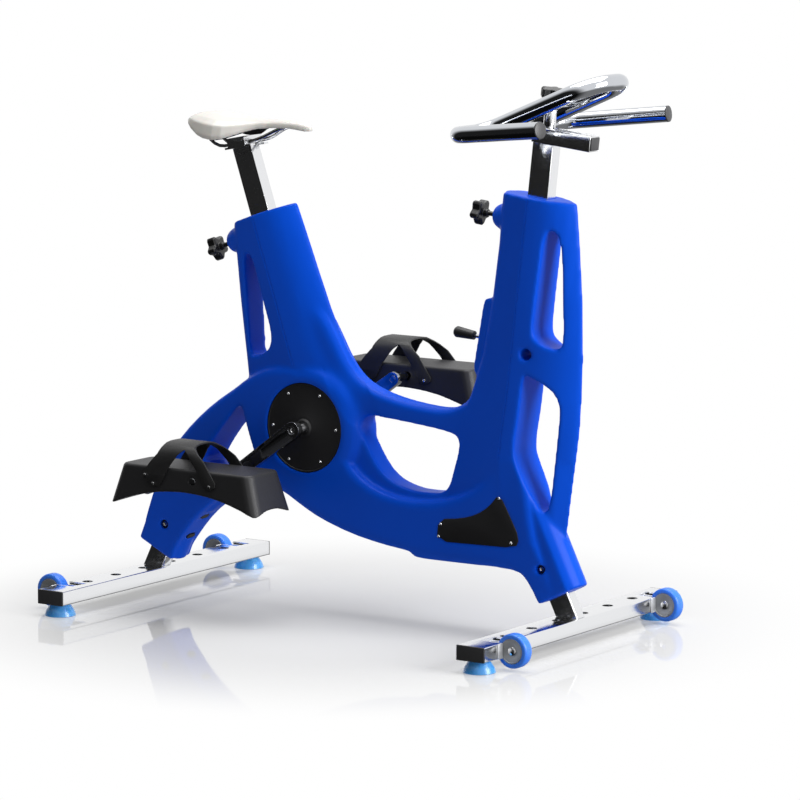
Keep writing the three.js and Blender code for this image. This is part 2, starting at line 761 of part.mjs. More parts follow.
for (const [end, out, barX] of ends) {
  add(`${end}_bar`, stabiliser(out, barX), 'steel');
  for (const [word, side] of sides) {
    const wheelFrame = placeAt(barX, side * wheelY, 0);
    const axleFrame = placeAt(barX + out * axleX, side * wheelY, barHeight / 2);
    add(`${end}_bar_cap_${word}`, endCap(side, placeAt(barX, 0, 0)), 'black');
    add(`${end}_suction_foot_${word}`, suctionFoot(placeAt(barX, side * cupY, 0)), 'cup');
    add(`${end}_wheel_bracket_${word}`, wheelBracket(out, wheelFrame), 'steel');
    add(`${end}_axle_bolt_${word}`, axleBolt(axleFrame), 'steel');
    add(`${end}_wheel_disc_${word}`, wheelDisc(axleFrame), 'black');
    add(`${end}_wheel_tyre_${word}`, wheelTyre(axleFrame), 'tyre');
  }
}

// Column sections: rounded back, flat flanks and a nose that closes to the front
function columnRings(stations) {
  return stations.map(([height, back, corner, crease, nose, cornerHalf, creaseHalf]) => {
    const [x0, x1, x2, x3] = [back, corner, crease, nose].map((share) => share * barSpacing);
    const half = [];
    for (let i = 1; i <= cornerSteps; i += 1) {
      const turn = (i / cornerSteps) * (Math.PI / 2);
      half.push([x1 - (x1 - x0) * Math.cos(turn), cornerHalf * shellHalf * Math.sin(turn)]);
    }
    for (let i = 0; i < noseSteps; i += 1) {
      const along = i / noseSteps;
      half.push([x2 + (x3 - x2) * along, creaseHalf * shellHalf * (1 - along ** 2) ** nosePower]);
    }
    const loop = [[x0, 0], ...half, [x3, 0], ...half.slice().reverse().map(([x, y]) => [x, -y])];
    return loop.map(([x, y]) => new THREE.Vector3(x, y, height * shellHeight));
  });
}

// Foot section across a leg, drawn out along it
function footPrism(sections, [low, high], frame) {
  const near = sections.map(([u, y]) => [u * legWidth, y * legDepth]);
  const far = near.filter(([, y]) => y > 0).reverse().map(([u, y]) => [u, -y]);
  const ring = (v) => [...near, ...far].map(([u, y]) => new THREE.Vector3(u, y, v));
  return loft([ring(low), ring(high)], frame);
}

// Wedges that draw the sides of the shell in toward a foot
function footTaper(footHalf, taper, frame) {
  const reach = 2 * shellHalf;
  return sides.map(([, side]) => {
    const outline = [
      [footHalf, -footPlane], [footHalf, footPlane], [shellHalf + flankSpare, footPlane + taper],
      [reach, footPlane + taper], [reach, -footPlane],
    ];
    const ring = (u) => outline.map(([y, v]) => new THREE.Vector3(u, side * y, v));
    return loft([ring(-taperReach), ring(taperReach)], frame);
  });
}

// Round boss on the back of a column for a clamp knob
function knobBoss(drop, frame) {
  return turned('x', [
    [0, -bossRoot],
    [bossRadius, -bossRoot],
    [bossRadius, bossDome - bossReach],
    [bossRadius * 0.95, bossDome * 0.68 - bossReach],
    [bossRadius * 0.84, bossDome * 0.36 - bossReach],
    [bossRadius * 0.66, bossDome * 0.1 - bossReach],
    [bossRadius * 0.48, -bossReach],
    [0, -bossReach],
  ], [0, 0, -drop], frame, pinSegments);
}

const plateau = plateauShares.map(sidePoint);
const skirt = skidShares.map(sidePoint);
const pad = padShares.map(sidePoint);
const across = [-2 * shellHalf, 2 * shellHalf];
const above = 2 * postInsert;
const hubPlace = [hubAt[0], 0, hubAt[1]];
const socket = [postWidth / 2 + gap, postDepth / 2 + gap];
const knobBore = (knobShank + gap) / Math.cos(Math.PI / boltSegments);

let seatColumn = loft(columnRings(seatStationShares));
seatColumn = cut(seatColumn, block([-above, above], across, [seatShellTop, above], seatFrame));
let frontColumn = loft(columnRings(frontStationShares));
frontColumn = cut(frontColumn, block([-above, above], across, [0, above], frontFrame));

const drum = turned('y', [
  [0, -drumHalf], [drumFace, -drumHalf], [drumFlank * 0.89, -drumHalf * 0.9],
  [drumFlank * 0.97, -drumHalf * 0.68], [drumFlank, -drumFoot], [drumFlank, drumFoot],
  [drumFlank * 0.97, drumHalf * 0.68], [drumFlank * 0.89, drumHalf * 0.9], [drumFace, drumHalf],
  [0, drumHalf],
], hubPlace, rootFrame, drumSegments);

let shell = join(
  softSlab(soften(webShares.map(sidePoint), 1), webHalf, webBevel, 1),
  softSlab(soften(plateau, 1), shellHalf, plateauBevel, bevelSteps),
  drum,
  seatColumn,
  frontColumn,
  softSlab(soften(skirt, 1), skidHalf, skidBevel, 1),
  slab(pad, [-padHalf, padHalf]),
);
shell = cut(
  shell,
  ...footTaper(frontFootHalf, frontTaper, frontLegFrame),
  ...footTaper(rearFootHalf, rearTaper, rearLegFrame),
);
shell = join(
  shell,
  footPrism(frontFootShares, [footPlane - overrun, frontFootTop], frontLegFrame),
  footPrism(rearFootShares, [footPlane - overrun, rearFootTop], rearLegFrame),
  knobBoss(seatClampDrop, seatFrame),
  knobBoss(frontClampDrop, frontFrame),
);

// Openings through the shell, the two covers' seats and the small drain holes
const rims = [rearSlotShares, rearTriangleShares, centralShares, upperSlotShares, lowerSlotShares];
shell = cut(shell, ...rims.map((rim) => slab(soften(rim.map(sidePoint)), across)));
shell = cut(
  shell,
  rod('y', roundHoleRadius, across, [roundHoleAt[0], 0, roundHoleAt[1]], rootFrame, pinSegments),
);
for (const [, side] of sides) {
  const coverSeat = span(side, coverFace - coverPlate - gap, across[1]);
  shell = cut(shell, rod('y', coverRadius + 2 * gap, coverSeat, hubPlace, rootFrame, drumSegments));
  for (const [x, z] of drainShares.map(sidePoint)) {
    const depth = span(side, drainHoleFloor, across[1]);
    shell = cut(shell, rod('y', drainHoleRadius, depth, [x, 0, z], rootFrame, boltSegments));
  }
}
const slotPlaces = slotShares.map(sidePoint);
const slotLean = Math.atan2(slotPlaces[0][0] - slotPlaces[1][0], slotPlaces[0][1] - slotPlaces[1][1]);
for (const place of slotPlaces) {
  const frame = frameAt(place, slotLean);
  const depth = [-slotDepth, shellHalf];
  shell = cut(
    shell,
    block(depth, [-slotHalf, slotHalf], [-slotRadius, slotRadius], frame),
    ...sides.map(([, side]) => rod('x', slotRadius, depth, [0, side * slotHalf, 0], frame, pinSegments)),
  );
}
shell = cut(shell, rod('y', spindleRadius + gap, across, hubPlace));
const coverOutline = soften(coverShares.map(sidePoint), 1);
const coverSeat = [across[0], coverThickness + gap - shellHalf];
shell = cut(shell, slab(grow(coverOutline, gap), coverSeat));

// Sockets for posts and legs, knob bores, bolt bores and flat soles
for (const [frame, drop, travel] of [
  [seatFrame, seatClampDrop, seatTravel], [frontFrame, frontClampDrop, frontTravel],
]) {
  const floor = -postInsert - travel - postSpare;
  shell = cut(
    shell,
    block([-socket[0], socket[0]], [-socket[1], socket[1]], [floor, above], frame),
    rod('x', knobBore, [-above, 0], [0, 0, -drop], frame, boltSegments),
  );
}
for (const frame of [frontLegFrame, rearLegFrame]) {
  shell = cut(
    shell,
    block([-2 * legWidth, 2 * legWidth], across, [-legTop, footPlane], frame),
    block([-socket[0], socket[0]], [-socket[1], socket[1]], [0, legTop + gap], frame),
    rod('y', footBoltRadius + gap, across, [0, 0, footBoltHeight], frame, boltSegments),
    rod('y', footRecessRadius, [footRecessFloor, across[1]], [0, 0, footBoltHeight], frame, pinSegments),
    rod('y', footRecessRadius, [across[0], -footRecessFloor], [0, 0, footBoltHeight], frame, pinSegments),
  );
}

// Vertical slot in the column's back for the resistance lever
const leverFrame = frameAt(leverAt, frontLean);
const leverRise = leverReach * Math.tan(leverSwing) + leverNeck + leverGap;
const sector = [
  [0, -leverHub - gap], [0, leverHub + gap], [-leverReach, leverRise], [-leverReach, -leverRise],
];
shell = cut(
  shell,
  slab(sector, [-leverSlot / 2, leverSlot / 2], leverFrame),
  rod('y', leverHub + gap, [-leverSlot / 2, leverSlot / 2], [0, 0, 0], leverFrame, pinSegments),
);
add('body_shell', shell, 'shell');
add('access_cover', slab(coverOutline, [-shellHalf, coverThickness - shellHalf]), 'black');

const leverHalf = leverSlot / 2 - gap;
add('resistance_lever', join(
  rod('y', leverHub, [-leverHalf, leverHalf], [0, 0, 0], leverFrame, pinSegments),
  rod('x', leverNeck, [-leverGripStart - leverInsert, 0], [0, 0, 0], leverFrame, boltSegments),
), 'black');
const gripEnd = -leverGripStart - leverGripLength;
add('resistance_grip', cut(
  turned('x', [
    [0, gripEnd], [leverGripRadius * 0.7, gripEnd], [leverGripRadius, gripEnd + leverNeck],
    [leverGripRadius * 0.78, -leverGripStart], [0, -leverGripStart],
  ], [0, 0, 0], leverFrame, pinSegments),
  rod(
    'x', leverNeck + gap, [-leverGripStart - leverInsert - gap, overrun], [0, 0, 0], leverFrame,
    boltSegments,
  ),
), 'black');

// Legs between the bars and the shell, each held by a cross bolt
for (const [end, frame] of [['front', frontLegFrame], ['rear', rearLegFrame]]) {
  const floor = block([-barSpacing, 2 * barSpacing], across, [-barSpacing, barHeight + gap]);
  const bore = rod('y', footBoltRadius + gap, across, [0, 0, footBoltHeight], frame, boltSegments);
  const leg = tube(legWidth, legDepth, postWall, [-legDepth, legTop], frame);
  add(`${end}_leg`, cut(leg, floor, bore), 'steel');
  const headFrom = footRecessFloor + gap;
  const headTo = headFrom + footBoltHeadHeight;
  add(`${end}_foot_bolt`, join(
    rod('y', footBoltRadius, [-headTo, headTo], [0, 0, footBoltHeight], frame, boltSegments),
    rod('y', footBoltHead, [headFrom, headTo], [0, 0, footBoltHeight], frame, boltSegments),
    rod('y', footBoltHead, [-headTo, -headFrom], [0, 0, footBoltHeight], frame, boltSegments),
  ), 'steel');
}

// Hub covers, spindle and crank arms
for (const [word, side] of sides) {
  const cover = join(
    rod('y', coverRadius, span(side, coverFace - coverPlate, coverFace), hubPlace, rootFrame, drumSegments),
    rod(
      'y', coverBoss, span(side, coverFace - coverPlate / 2, coverFace + coverBossHeight), hubPlace,
      rootFrame, pinSegments,
    ),
  );
  add(`hub_cover_${word}`, cut(cover, rod('y', spindleRadius + gap, across, hubPlace)), 'black');
}
const spindleShoulder = crankOuter - crankThickness - gap;
add('spindle', join(
  rod('y', spindleRadius, [-spindleShoulder, spindleShoulder], hubPlace, rootFrame, pinSegments),
  rod('y', spindleNeck, [-spindleEnd, spindleEnd], hubPlace, rootFrame, pinSegments),
), 'steel');

const axleAt = (side) => [
  hubAt[0] + side * crankLength * Math.cos(crankAngle),
  0,
  hubAt[1] + side * crankLength * Math.sin(crankAngle),
];

// Stadium outline around the spindle and the pedal axle, drawn along the crank
function crankOutline(hubRadius, endRadius) {
  const lean = Math.asin((hubRadius - endRadius) / crankLength);
  const outline = [];
  for (const [radius, x, from] of [[endRadius, crankLength, -1], [hubRadius, 0, 1]]) {
    const sweep = from < 0 ? Math.PI - 2 * lean : Math.PI + 2 * lean;
    const start = from < 0 ? lean - Math.PI / 2 : Math.PI / 2 - lean;
    for (let i = 0; i <= crankSteps; i += 1) {
      const angle = start + (sweep * i) / crankSteps;
      outline.push([x + radius * Math.cos(angle), radius * Math.sin(angle)]);
    }
  }
  return outline;
}

for (const [word, side] of sides) {
  const lean = side > 0 ? -crankAngle : Math.PI - crankAngle;
  const frame = new THREE.Matrix4().makeRotationY(lean).setPosition(...hubPlace);
  const width = span(side, crankOuter - crankThickness, crankOuter);
  const grooveOutline = crankOutline(crankHubRadius - crankGrooveEdge, crankEndRadius - crankGrooveEdge);
  const groove = slab(grooveOutline, span(side, crankOuter - crankGroove, crankOuter + overrun), frame);
  let arm = cut(slab(crankOutline(crankHubRadius, crankEndRadius), width, frame), groove);
  arm = join(
    arm,
    rod(
      'y', crankHubRadius - crankGrooveEdge / 2,
      span(side, crankOuter - crankThickness / 2, crankOuter), [0, 0, 0], frame, pinSegments,
    ),
    rod(
      'y', crankEndRadius - crankGrooveEdge / 2,
      span(side, crankOuter - crankThickness / 2, crankOuter), [crankLength, 0, 0], frame,
      pinSegments,
    ),
  );
  arm = cut(
    arm,
    rod('y', spindleNeck + gap, across, [0, 0, 0], frame, pinSegments),
    rod('y', pedalThreadRadius + gap, [-pedalInner, pedalInner], [crankLength, 0, 0], frame, pinSegments),
  );
  add(`crank_arm_${word}`, arm, 'crank');

  const axle = axleAt(side);
  const flange = crankOuter + gap;
  add(`pedal_spindle_${word}`, join(
    rod(
      'y', pedalThreadRadius, span(side, crankOuter - crankThickness, flange + pedalFlange), axle,
      rootFrame, pinSegments,
    ),
    rod('y', pedalFlangeRadius, span(side, flange, flange + pedalFlange), axle, rootFrame, pinSegments),
    rod(
      'y', pedalAxleRadius, span(side, flange, pedalInner + pedalWidth - axleCover - gap), axle,
      rootFrame, pinSegments,
    ),
  ), 'crank');
}

// Rounded rectangle ring at one height
function roundedRing(length, width, round, height) {
  const ring = [];
  for (const [sx, sy, start] of [[1, 1, 0], [-1, 1, 1], [-1, -1, 2], [1, -1, 3]]) {
    for (let i = 0; i <= pedalRoundSteps; i += 1) {
      const angle = (start + i / pedalRoundSteps) * (Math.PI / 2);
      const x = sx * (length / 2 - round) + round * Math.cos(angle);
      const y = sy * (width / 2 - round) + round * Math.sin(angle);
      ring.push(new THREE.Vector3(x, y, height));
    }
  }
  return ring;
}

// Buoyant pedal: tapered block hollowed from below by two crossing arches
function pedalFloat(side, back, frame) {
  const edge = pedalEdge;
  const share = edge / (pedalRise + pedalDrop);
  const shoulderLength = pedalTopLength + (pedalBaseLength - pedalTopLength) * share;
  const shoulderWidth = pedalTopWidth + (pedalWidth - pedalTopWidth) * share;
  const body = loft([
    roundedRing(pedalBaseLength, pedalWidth, pedalRound, -pedalDrop),
    roundedRing(shoulderLength, shoulderWidth, pedalRound, pedalRise - edge),
    roundedRing(pedalTopLength - edge, pedalTopWidth - edge, pedalRound - edge / 2, pedalRise),
  ], frame);
  const arch = (chord, rise) => (chord ** 2 / 4 + rise ** 2) / (2 * rise);
  const longArch = arch(pedalBaseLength - 2 * pedalTip, pedalDrop - pedalMidDrop);
  const crossArch = arch(pedalWidth - 2 * pedalTip, pedalEndArch);
  const reach = pedalBaseLength;
  const alongArch = rod(
    'y', longArch, [-reach, reach], [0, 0, -pedalMidDrop - longArch], frame, archSegments,
  );
  const acrossArch = rod(
    'x', crossArch, [-reach, reach], [0, 0, pedalEndArch - pedalDrop - crossArch], frame,
    archSegments,
  );
  const bore = rod(
    'y', pedalAxleRadius + gap, span(side, -pedalWidth, pedalWidth / 2 - axleCover),
    [back, 0, 0], frame, 24,
  );
  return cut(body, alongArch, acrossArch, bore);
}

// Line of points offset to both sides into a band of even thickness
function band(points, thickness) {
  const edge = (side) => points.map(([y, z], i) => {
    const [py, pz] = points[Math.max(i - 1, 0)];
    const [ny, nz] = points[Math.min(i + 1, points.length - 1)];
    const normal = new THREE.Vector2(pz - nz, ny - py).setLength((side * thickness) / 2);
    return [y + normal.x, z + normal.y];
  });
  return [...edge(1), ...edge(-1).reverse()];
}

// Strap arching over the pedal, with its flat sides cut to a fork shape
function pedalStrap(frame) {
  const flank = (z) => pedalTopWidth / 2 + strapGap
    + ((pedalWidth - pedalTopWidth) / 2) * ((pedalRise - z) / (pedalRise + pedalDrop));
  const half = [
    [flank(-strapFoot), -strapFoot],
    [flank(pedalRise), pedalRise],
    ...strapArchShares.map(([y, z]) => [(y * pedalTopWidth) / 2, z * strapCrown]),
  ];
  const line = [...half, ...half.slice(0, -1).reverse().map(([y, z]) => [-y, z])];
  const curve = new THREE.CatmullRomCurve3(
    line.map(([y, z]) => new THREE.Vector3(y, z, 0)), false, 'centripetal',
  );
  const points = curve.getPoints(strapSteps).map((p) => [p.x, p.y]);
  const turn = new THREE.Matrix4().makeRotationZ(-Math.PI / 2);
  const strip = slab(
    band(points, strapThickness), [-pedalBaseLength, pedalBaseLength], frame.clone().multiply(turn),
  );
  const fork = strapShares.map(([x, z]) => [x * strapLength, z * strapLength]);
  return strip.intersect(slab(fork, [-pedalWidth, pedalWidth], frame));
}

for (const [word, side] of sides) {
  const [axleX0, , axleZ0] = axleAt(side);
  const middle = side * (pedalInner + pedalWidth / 2);
  add(
    `pedal_${word}`,
    pedalFloat(side, pedalBacks[word], placeAt(axleX0 - pedalBacks[word], middle, axleZ0)), 'black',
  );
  add(`strap_${word}`, pedalStrap(placeAt(axleX0, middle, axleZ0)), 'rubber');
}

// Star knob on a threaded shank; its axis runs along the third direction of the frame
function starKnob(reach, frame) {
  const outline = Array.from({ length: knobLobes * knobLobeSteps }, (_, i) => {
    const angle = (i / (knobLobes * knobLobeSteps)) * 2 * Math.PI;
    const wave = (1 + Math.cos(knobLobes * angle)) / 2;
    const radius = knobRadius * (1 - knobLobeShare * wave);
    return new THREE.Vector2(radius * Math.cos(angle), radius * Math.sin(angle));
  });
  const geometry = new THREE.ExtrudeGeometry(new THREE.Shape(outline), {
    depth: knobThickness - 2 * knobEdge,
    bevelThickness: knobEdge,
    bevelSize: knobEdge,
    bevelOffset: -knobEdge,
    bevelSegments: 1,
  });
  geometry.translate(0, 0, knobEdge);
  return join(
    solid(geometry, frame),
    rod('z', knobCollar, [-knobCollarLength, overrun / 2], [0, 0, 0], frame, boltSegments),
    rod('z', knobShank, [-reach, overrun / 2], [0, 0, 0], frame, boltSegments),
  );
}

const towardRear = new THREE.Matrix4().makeRotationY(-Math.PI / 2);
for (const [name, frame, drop] of [
  ['seat_post_knob', seatFrame, seatClampDrop], ['handlebar_post_knob', frontFrame, frontClampDrop],
]) {
  const start = bossReach + knobStandoff;
  const place = frame.clone().multiply(placeAt(-start, 0, -drop)).multiply(towardRear);
  add(name, starKnob(start - postWidth / 2 - gap, place), 'black');
}

// Posts; the seat post's solid head carries a cradle for the tilting clamp
const head = block(
  [postWall - postWidth / 2, postWidth / 2 - postWall],
  [postWall - postDepth / 2, postDepth / 2 - postWall],
  [seatPostTop - cradleBlock, seatPostTop],
  seatFrame,
);
const cradlePlace = [0, 0, seatPostTop + cradleRise];
add('seat_post', cut(
  join(tube(postWidth, postDepth, postWall, [-postInsert, seatPostTop], seatFrame), head),
  rod('y', cradleRadius + gap, across, cradlePlace, seatFrame),
), 'steel');
add(
  'handlebar_post',
  tube(postWidth, postDepth, postWall, [-postInsert, stemBottom - gap], frontFrame), 'steel',
);

// Saddle clamp: round belly in the cradle, jaws around the rails
const cradleCentre = new THREE.Vector3(...cradlePlace).applyMatrix4(seatFrame);
const clampFrame = frameAt([cradleCentre.x, cradleCentre.z], railLean);
const shoulder = postDepth / 2 + 2 * gap;
const jawHalfLength = jawLength / 2;
let clamp = join(
  cut(
    rod('y', cradleRadius, [-postDepth / 2, postDepth / 2], [0, 0, 0], clampFrame),
    block([-postWidth, postWidth], across, [jawSeat + overrun, postWidth], clampFrame),
  ),
  block([-jawHalfLength, jawHalfLength], [-jawHalf, jawHalf], [jawSeat, jawTop], clampFrame),
);
for (const [, side] of sides) {
  clamp = join(
    clamp,
    block([-jawHalfLength, jawHalfLength], span(side, shoulder, jawHalf), [-jawFloor, jawTop], clampFrame),
    block([-jawBack, jawFront], span(side, shoulder, jawHalf), [-jawFloor, jawLip - jawFloor], clampFrame),
  );
}
for (const [, side] of sides) {
  const bore = rod(
    'x', railRadius + gap, [-postWidth, postWidth], [0, side * railHalf, railRise], clampFrame,
    boltSegments,
  );
  clamp = cut(clamp, bore);
}
add('saddle_clamp', clamp, 'steel');

// Rails: one wire from the rear of the saddle through the clamp to its nose and back
const railHalfPath = railShares.map(([x, y, z]) => new THREE.Vector3(
  x * barSpacing, y * saddleHalf, z * barSpacing,
));
const railPath = [
  ...railHalfPath,
  ...railHalfPath.slice(0, -1).reverse().map(({ x, y, z }) => new THREE.Vector3(x, -y, z)),
];
add('saddle_rails', bentRod(railPath, railRadius, railSides, railSteps, clampFrame), 'steel');

const saddleBack = cradleCentre.x - saddleBehind;
const saddleFloor = cradleCentre.z + saddleOver;

// Saddle section at one station, drawn in by a distance and taken down to a floor
function saddleRing([place, width, crown, rim], inset, drop) {
  const x = saddleBack + inset + place * (saddleLength - 2 * inset);
  const half = Math.max(width * saddleHalf - inset, saddleTip);
  const low = saddleFloor + rim * saddleRise;
  const top = Math.max(saddleFloor + crown * saddleRise - inset, low + saddleTip);
  const skirt = saddleSkirt * (top - low);
  const arc = [];
  for (let i = 0; i <= saddleArcSteps; i += 1) {
    const angle = Math.PI * (i / saddleArcSteps - 0.5);
    const rise = Math.abs(Math.cos(angle)) ** saddlePower;
    arc.push(new THREE.Vector3(x, half * Math.sin(angle), low + skirt + (top - low - skirt) * rise));
  }
  const foot = [-1, 1].map((side) => new THREE.Vector3(x, side * half * saddleDrawIn, low - drop));
  return [...arc, foot[1], foot[0]];
}

const saddleSkinAt = (inset, drop) => loft(saddleStationShares.map((station) => saddleRing(
  station, inset, drop,
)));
const wire = (clearance) => bentRod(railPath, railRadius + clearance, railSides, railSteps, clampFrame);
const innerFace = saddleSkinAt(saddleSkin + gap, 0);
let base = cut(innerFace, saddleSkinAt(saddleSkin + gap + saddleBaseWall, overrun));
const railBlocks = railBlockShares.map(([x0, x1, y0, y1, z0]) => block(
  [saddleBack + x0 * saddleLength, saddleBack + x1 * saddleLength],
  [y0 * saddleHalf, y1 * saddleHalf],
  [saddleFloor + z0 * saddleRise, saddleFloor + 2 * saddleRise],
));
base = join(
  base,
  ...railBlocks.map((part) => part.intersect(saddleSkinAt(
    saddleSkin + gap + saddleBaseWall / 2, saddleRise,
  ))),
);
add('saddle_base', cut(base, wire(gap)), 'black');
add('saddle_cover', cut(saddleSkinAt(0, 0), saddleSkinAt(saddleSkin, overrun)), 'saddle');

// Stem across the top of the handlebar post, slotted for the sliding column
const stemTop = stemBottom + stemHeight;
const stemRoof = stemTop - stemWall;
const stemHalf = stemWidth / 2;
add('stem_tube', cut(
  block([-stemBack, stemFront], [-stemHalf, stemHalf], [stemBottom, stemTop], frontFrame),
  block(
    [stemWall - stemBack, stemFront + overrun], [stemWall - stemHalf, stemHalf - stemWall],
    [stemBottom + stemWall, stemRoof], frontFrame,
  ),
  block(
    [columnAt - columnNeck - gap, columnAt + carriageTravel + columnNeck + gap],
    [-slotWidth / 2, slotWidth / 2], [stemRoof - overrun, stemTop + overrun], frontFrame,
  ),
), 'steel');
const plugHalf = stemHalf - stemWall - gap;
add(
  'stem_plug',
  block(
    [stemFront - stemPlugDepth, stemFront + stemPlug], [-plugHalf, plugHalf],
    [stemBottom + stemWall + gap, stemRoof - gap], frontFrame,
  ),
  'black',
);

// Sliding column: nut block under the slot, neck through it, round column above
const columnPlace = [columnAt, 0, 0];
add('clamp_column', cut(
  join(
    block(
      [columnAt - nutBlock, columnAt + nutBlock], [-nutBlockHalf, nutBlockHalf],
      [stemRoof - gap - nutBlock, stemRoof - gap], frontFrame,
    ),
    rod('z', columnNeck, [stemRoof - overrun, stemTop + overrun], columnPlace, frontFrame, boltSegments),
    rod('z', columnRadius, [stemTop + gap, bridgeBottom - gap], columnPlace, frontFrame, pinSegments),
  ),
  rod(
    'z', knobBore, [bridgeBottom - columnBore, bridgeBottom + overrun], columnPlace, frontFrame,
    boltSegments,
  ),
), 'steel');
add('carriage_knob', starKnob(
  knobCollarLength + bridgeThickness + columnBore - overrun,
  frontFrame.clone().multiply(placeAt(columnAt, 0, bridgeBottom + bridgeThickness + knobCollarLength + gap)),
), 'black');

// Handlebar: two hand grips, the elbows and the raised centre loop
const half = handlebarShares.map(([u, y, v]) => new THREE.Vector3(
  u * barSpacing, y * gripSpread, v * barSpacing,
));
const corners = [...half, ...half.slice().reverse().map(({ x, y, z }) => new THREE.Vector3(x, -y, z))];
const radii = [bendRadius, innerBend, apexRadius, apexRadius, innerBend, bendRadius];
const line = bend(corners, radii);
let handlebar = join(
  bentRod(line, tubeRadius, tubeSides, handlebarSteps, frontFrame),
  block(
    [columnAt - bridgeWidth / 2, columnAt + bridgeWidth / 2], [-bridgeHalf, bridgeHalf],
    [bridgeBottom, bridgeBottom + bridgeThickness], frontFrame,
  ),
);
handlebar = cut(
  handlebar,
  rod(
    'z', knobBore, [bridgeBottom - overrun, bridgeBottom + 3 * bridgeThickness], columnPlace,
    frontFrame, boltSegments,
  ),
);
for (const [word, side] of sides) {
  const [tip, elbow] = [half[0], half[1]].map(({ x, y, z }) => new THREE.Vector3(x, -side * y, z));
  const turn = new THREE.Quaternion().setFromUnitVectors(
    new THREE.Vector3(0, 0, 1), tip.clone().sub(elbow).normalize(),
  );
  const place = new THREE.Matrix4().compose(tip, turn, new THREE.Vector3(1, 1, 1));
  const frame = frontFrame.clone().multiply(place);
  handlebar = cut(
    handlebar,
    rod('z', plugRadius + gap, [-plugInsert - gap, overrun], [0, 0, 0], frame, pinSegments),
  );
  add(`grip_plug_${word}`, join(
    rod('z', plugRadius, [-plugInsert, gripPlug], [0, 0, 0], frame, pinSegments),
    rod('z', tubeRadius, [gap, gripPlug], [0, 0, 0], frame, pinSegments),
  ), 'black');
}
add('handlebar', handlebar, 'steel');

// The origin sits on the floor under the middle of the whole bike
const bounds = new THREE.Box3().setFromObject(bike);
bike.position.set(-(bounds.min.x + bounds.max.x) / 2, 0, footHeight);

export default bike;
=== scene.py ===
import math
import bmesh
import bpy
from mathutils import Matrix, Vector


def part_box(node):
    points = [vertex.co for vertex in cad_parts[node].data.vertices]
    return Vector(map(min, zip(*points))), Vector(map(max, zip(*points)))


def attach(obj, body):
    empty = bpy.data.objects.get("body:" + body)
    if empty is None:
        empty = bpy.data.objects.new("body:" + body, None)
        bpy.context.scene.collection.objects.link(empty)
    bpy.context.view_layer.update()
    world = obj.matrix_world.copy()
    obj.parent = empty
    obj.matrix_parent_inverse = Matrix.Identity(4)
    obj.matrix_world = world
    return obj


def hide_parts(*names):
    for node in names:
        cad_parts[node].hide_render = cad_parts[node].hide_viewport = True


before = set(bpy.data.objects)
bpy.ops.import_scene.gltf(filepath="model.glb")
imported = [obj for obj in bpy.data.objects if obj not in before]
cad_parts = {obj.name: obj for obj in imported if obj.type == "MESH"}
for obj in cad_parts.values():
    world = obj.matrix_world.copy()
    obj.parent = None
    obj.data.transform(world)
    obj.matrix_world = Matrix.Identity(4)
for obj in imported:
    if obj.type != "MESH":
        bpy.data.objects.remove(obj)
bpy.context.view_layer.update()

# Stabiliser bars
# Two rectangular tubes of polished stainless steel that lie across the bike. They are drilled on
# top, so that pool water drains, and notched near each end for a transport wheel.
MM = 0.001
MERGE = 0.002 * MM
FLAT = math.radians(0.6)
SHARP = math.radians(34)
SIDES = {"right": -1, "left": 1}
ENDS = {"rear": -1, "front": 1}
bar_width, bar_height, bar_wall, bar_corner = 64 * MM, 30 * MM, 2.5 * MM, 3 * MM
bar_reach = 357.7 * MM
drain_radius, drain_pitch, drain_count = 11 * MM, 94.4 * MM, 6
notch_back, notch_right, notch_left = 13 * MM, 17 * MM, 27.5 * MM
wheel_y = 284.5 * MM
overrun = 4 * MM
drain_steps = 48
noise_low, noise_high, noise_detail = 0.3, 0.7, 3
STEEL = "#EDEEF0"
bar_low, bar_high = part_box("rear_bar")
bike_origin = Vector(((bar_low.x + bar_high.x) / 2, 0, bar_low.z))
bar_middles = {
    end: Vector((sum(corner.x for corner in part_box(f"{end}_bar")) / 2, 0, bar_low.z)) for end in ENDS
}


def linear(colour):
    """The linear value of an sRGB hex colour."""
    shares = [int(colour[i : i + 2], 16) / 255 for i in (1, 3, 5)]
    return [s / 12.92 if s <= 0.04045 else ((s + 0.055) / 1.055) ** 2.4 for s in shares] + [1]


def add_node(tree, kind, links=None, **settings):
    """Adds a node, sets its values and links its inputs."""
    made = tree.nodes.new("ShaderNode" + kind)
    for name, value in settings.items():
        setattr(made, name, value)
    for socket, source in (links or {}).items():
        if isinstance(source, bpy.types.NodeSocket):
            tree.links.new(source, made.inputs[socket])
        else:
            made.inputs[socket].default_value = source
    return made


def new_finish(name, **values):
    """A material with its shader's own sockets set, and its object coordinates."""
    finish = bpy.data.materials.new(name)
    finish.use_nodes = True
    tree = finish.node_tree
    tree.nodes.clear()
    shader = add_node(tree, "BsdfPrincipled", values)
    place = add_node(tree, "TexCoord").outputs["Object"]
    add_node(tree, "OutputMaterial", {"Surface": shader.outputs["BSDF"]})
    return finish, tree, shader, place


def grain(tree, shader, place, size, depth, dull, bright, stretch=(1, 1, 1)):
    """Surface grain of one real size that stands up by a depth and varies the gloss."""
    turned = add_node(tree, "Mapping", {"Vector": place, "Scale": stretch})
    noise = add_node(tree, "TexNoise", {
        "Vector": turned.outputs[0], "Scale": 1 / size, "Detail": noise_detail,
    })
    gloss = add_node(tree, "MapRange", {
        "Value": noise.outputs[0], "From Min": noise_low, "From Max": noise_high,
        "To Min": bright, "To Max": dull,
    })
    tree.links.new(gloss.outputs[0], shader.inputs["Roughness"])
    bump = add_node(tree, "Bump", {"Height": noise.outputs[0], "Strength": 1, "Distance": depth})
    tree.links.new(bump.outputs[0], shader.inputs["Normal"])


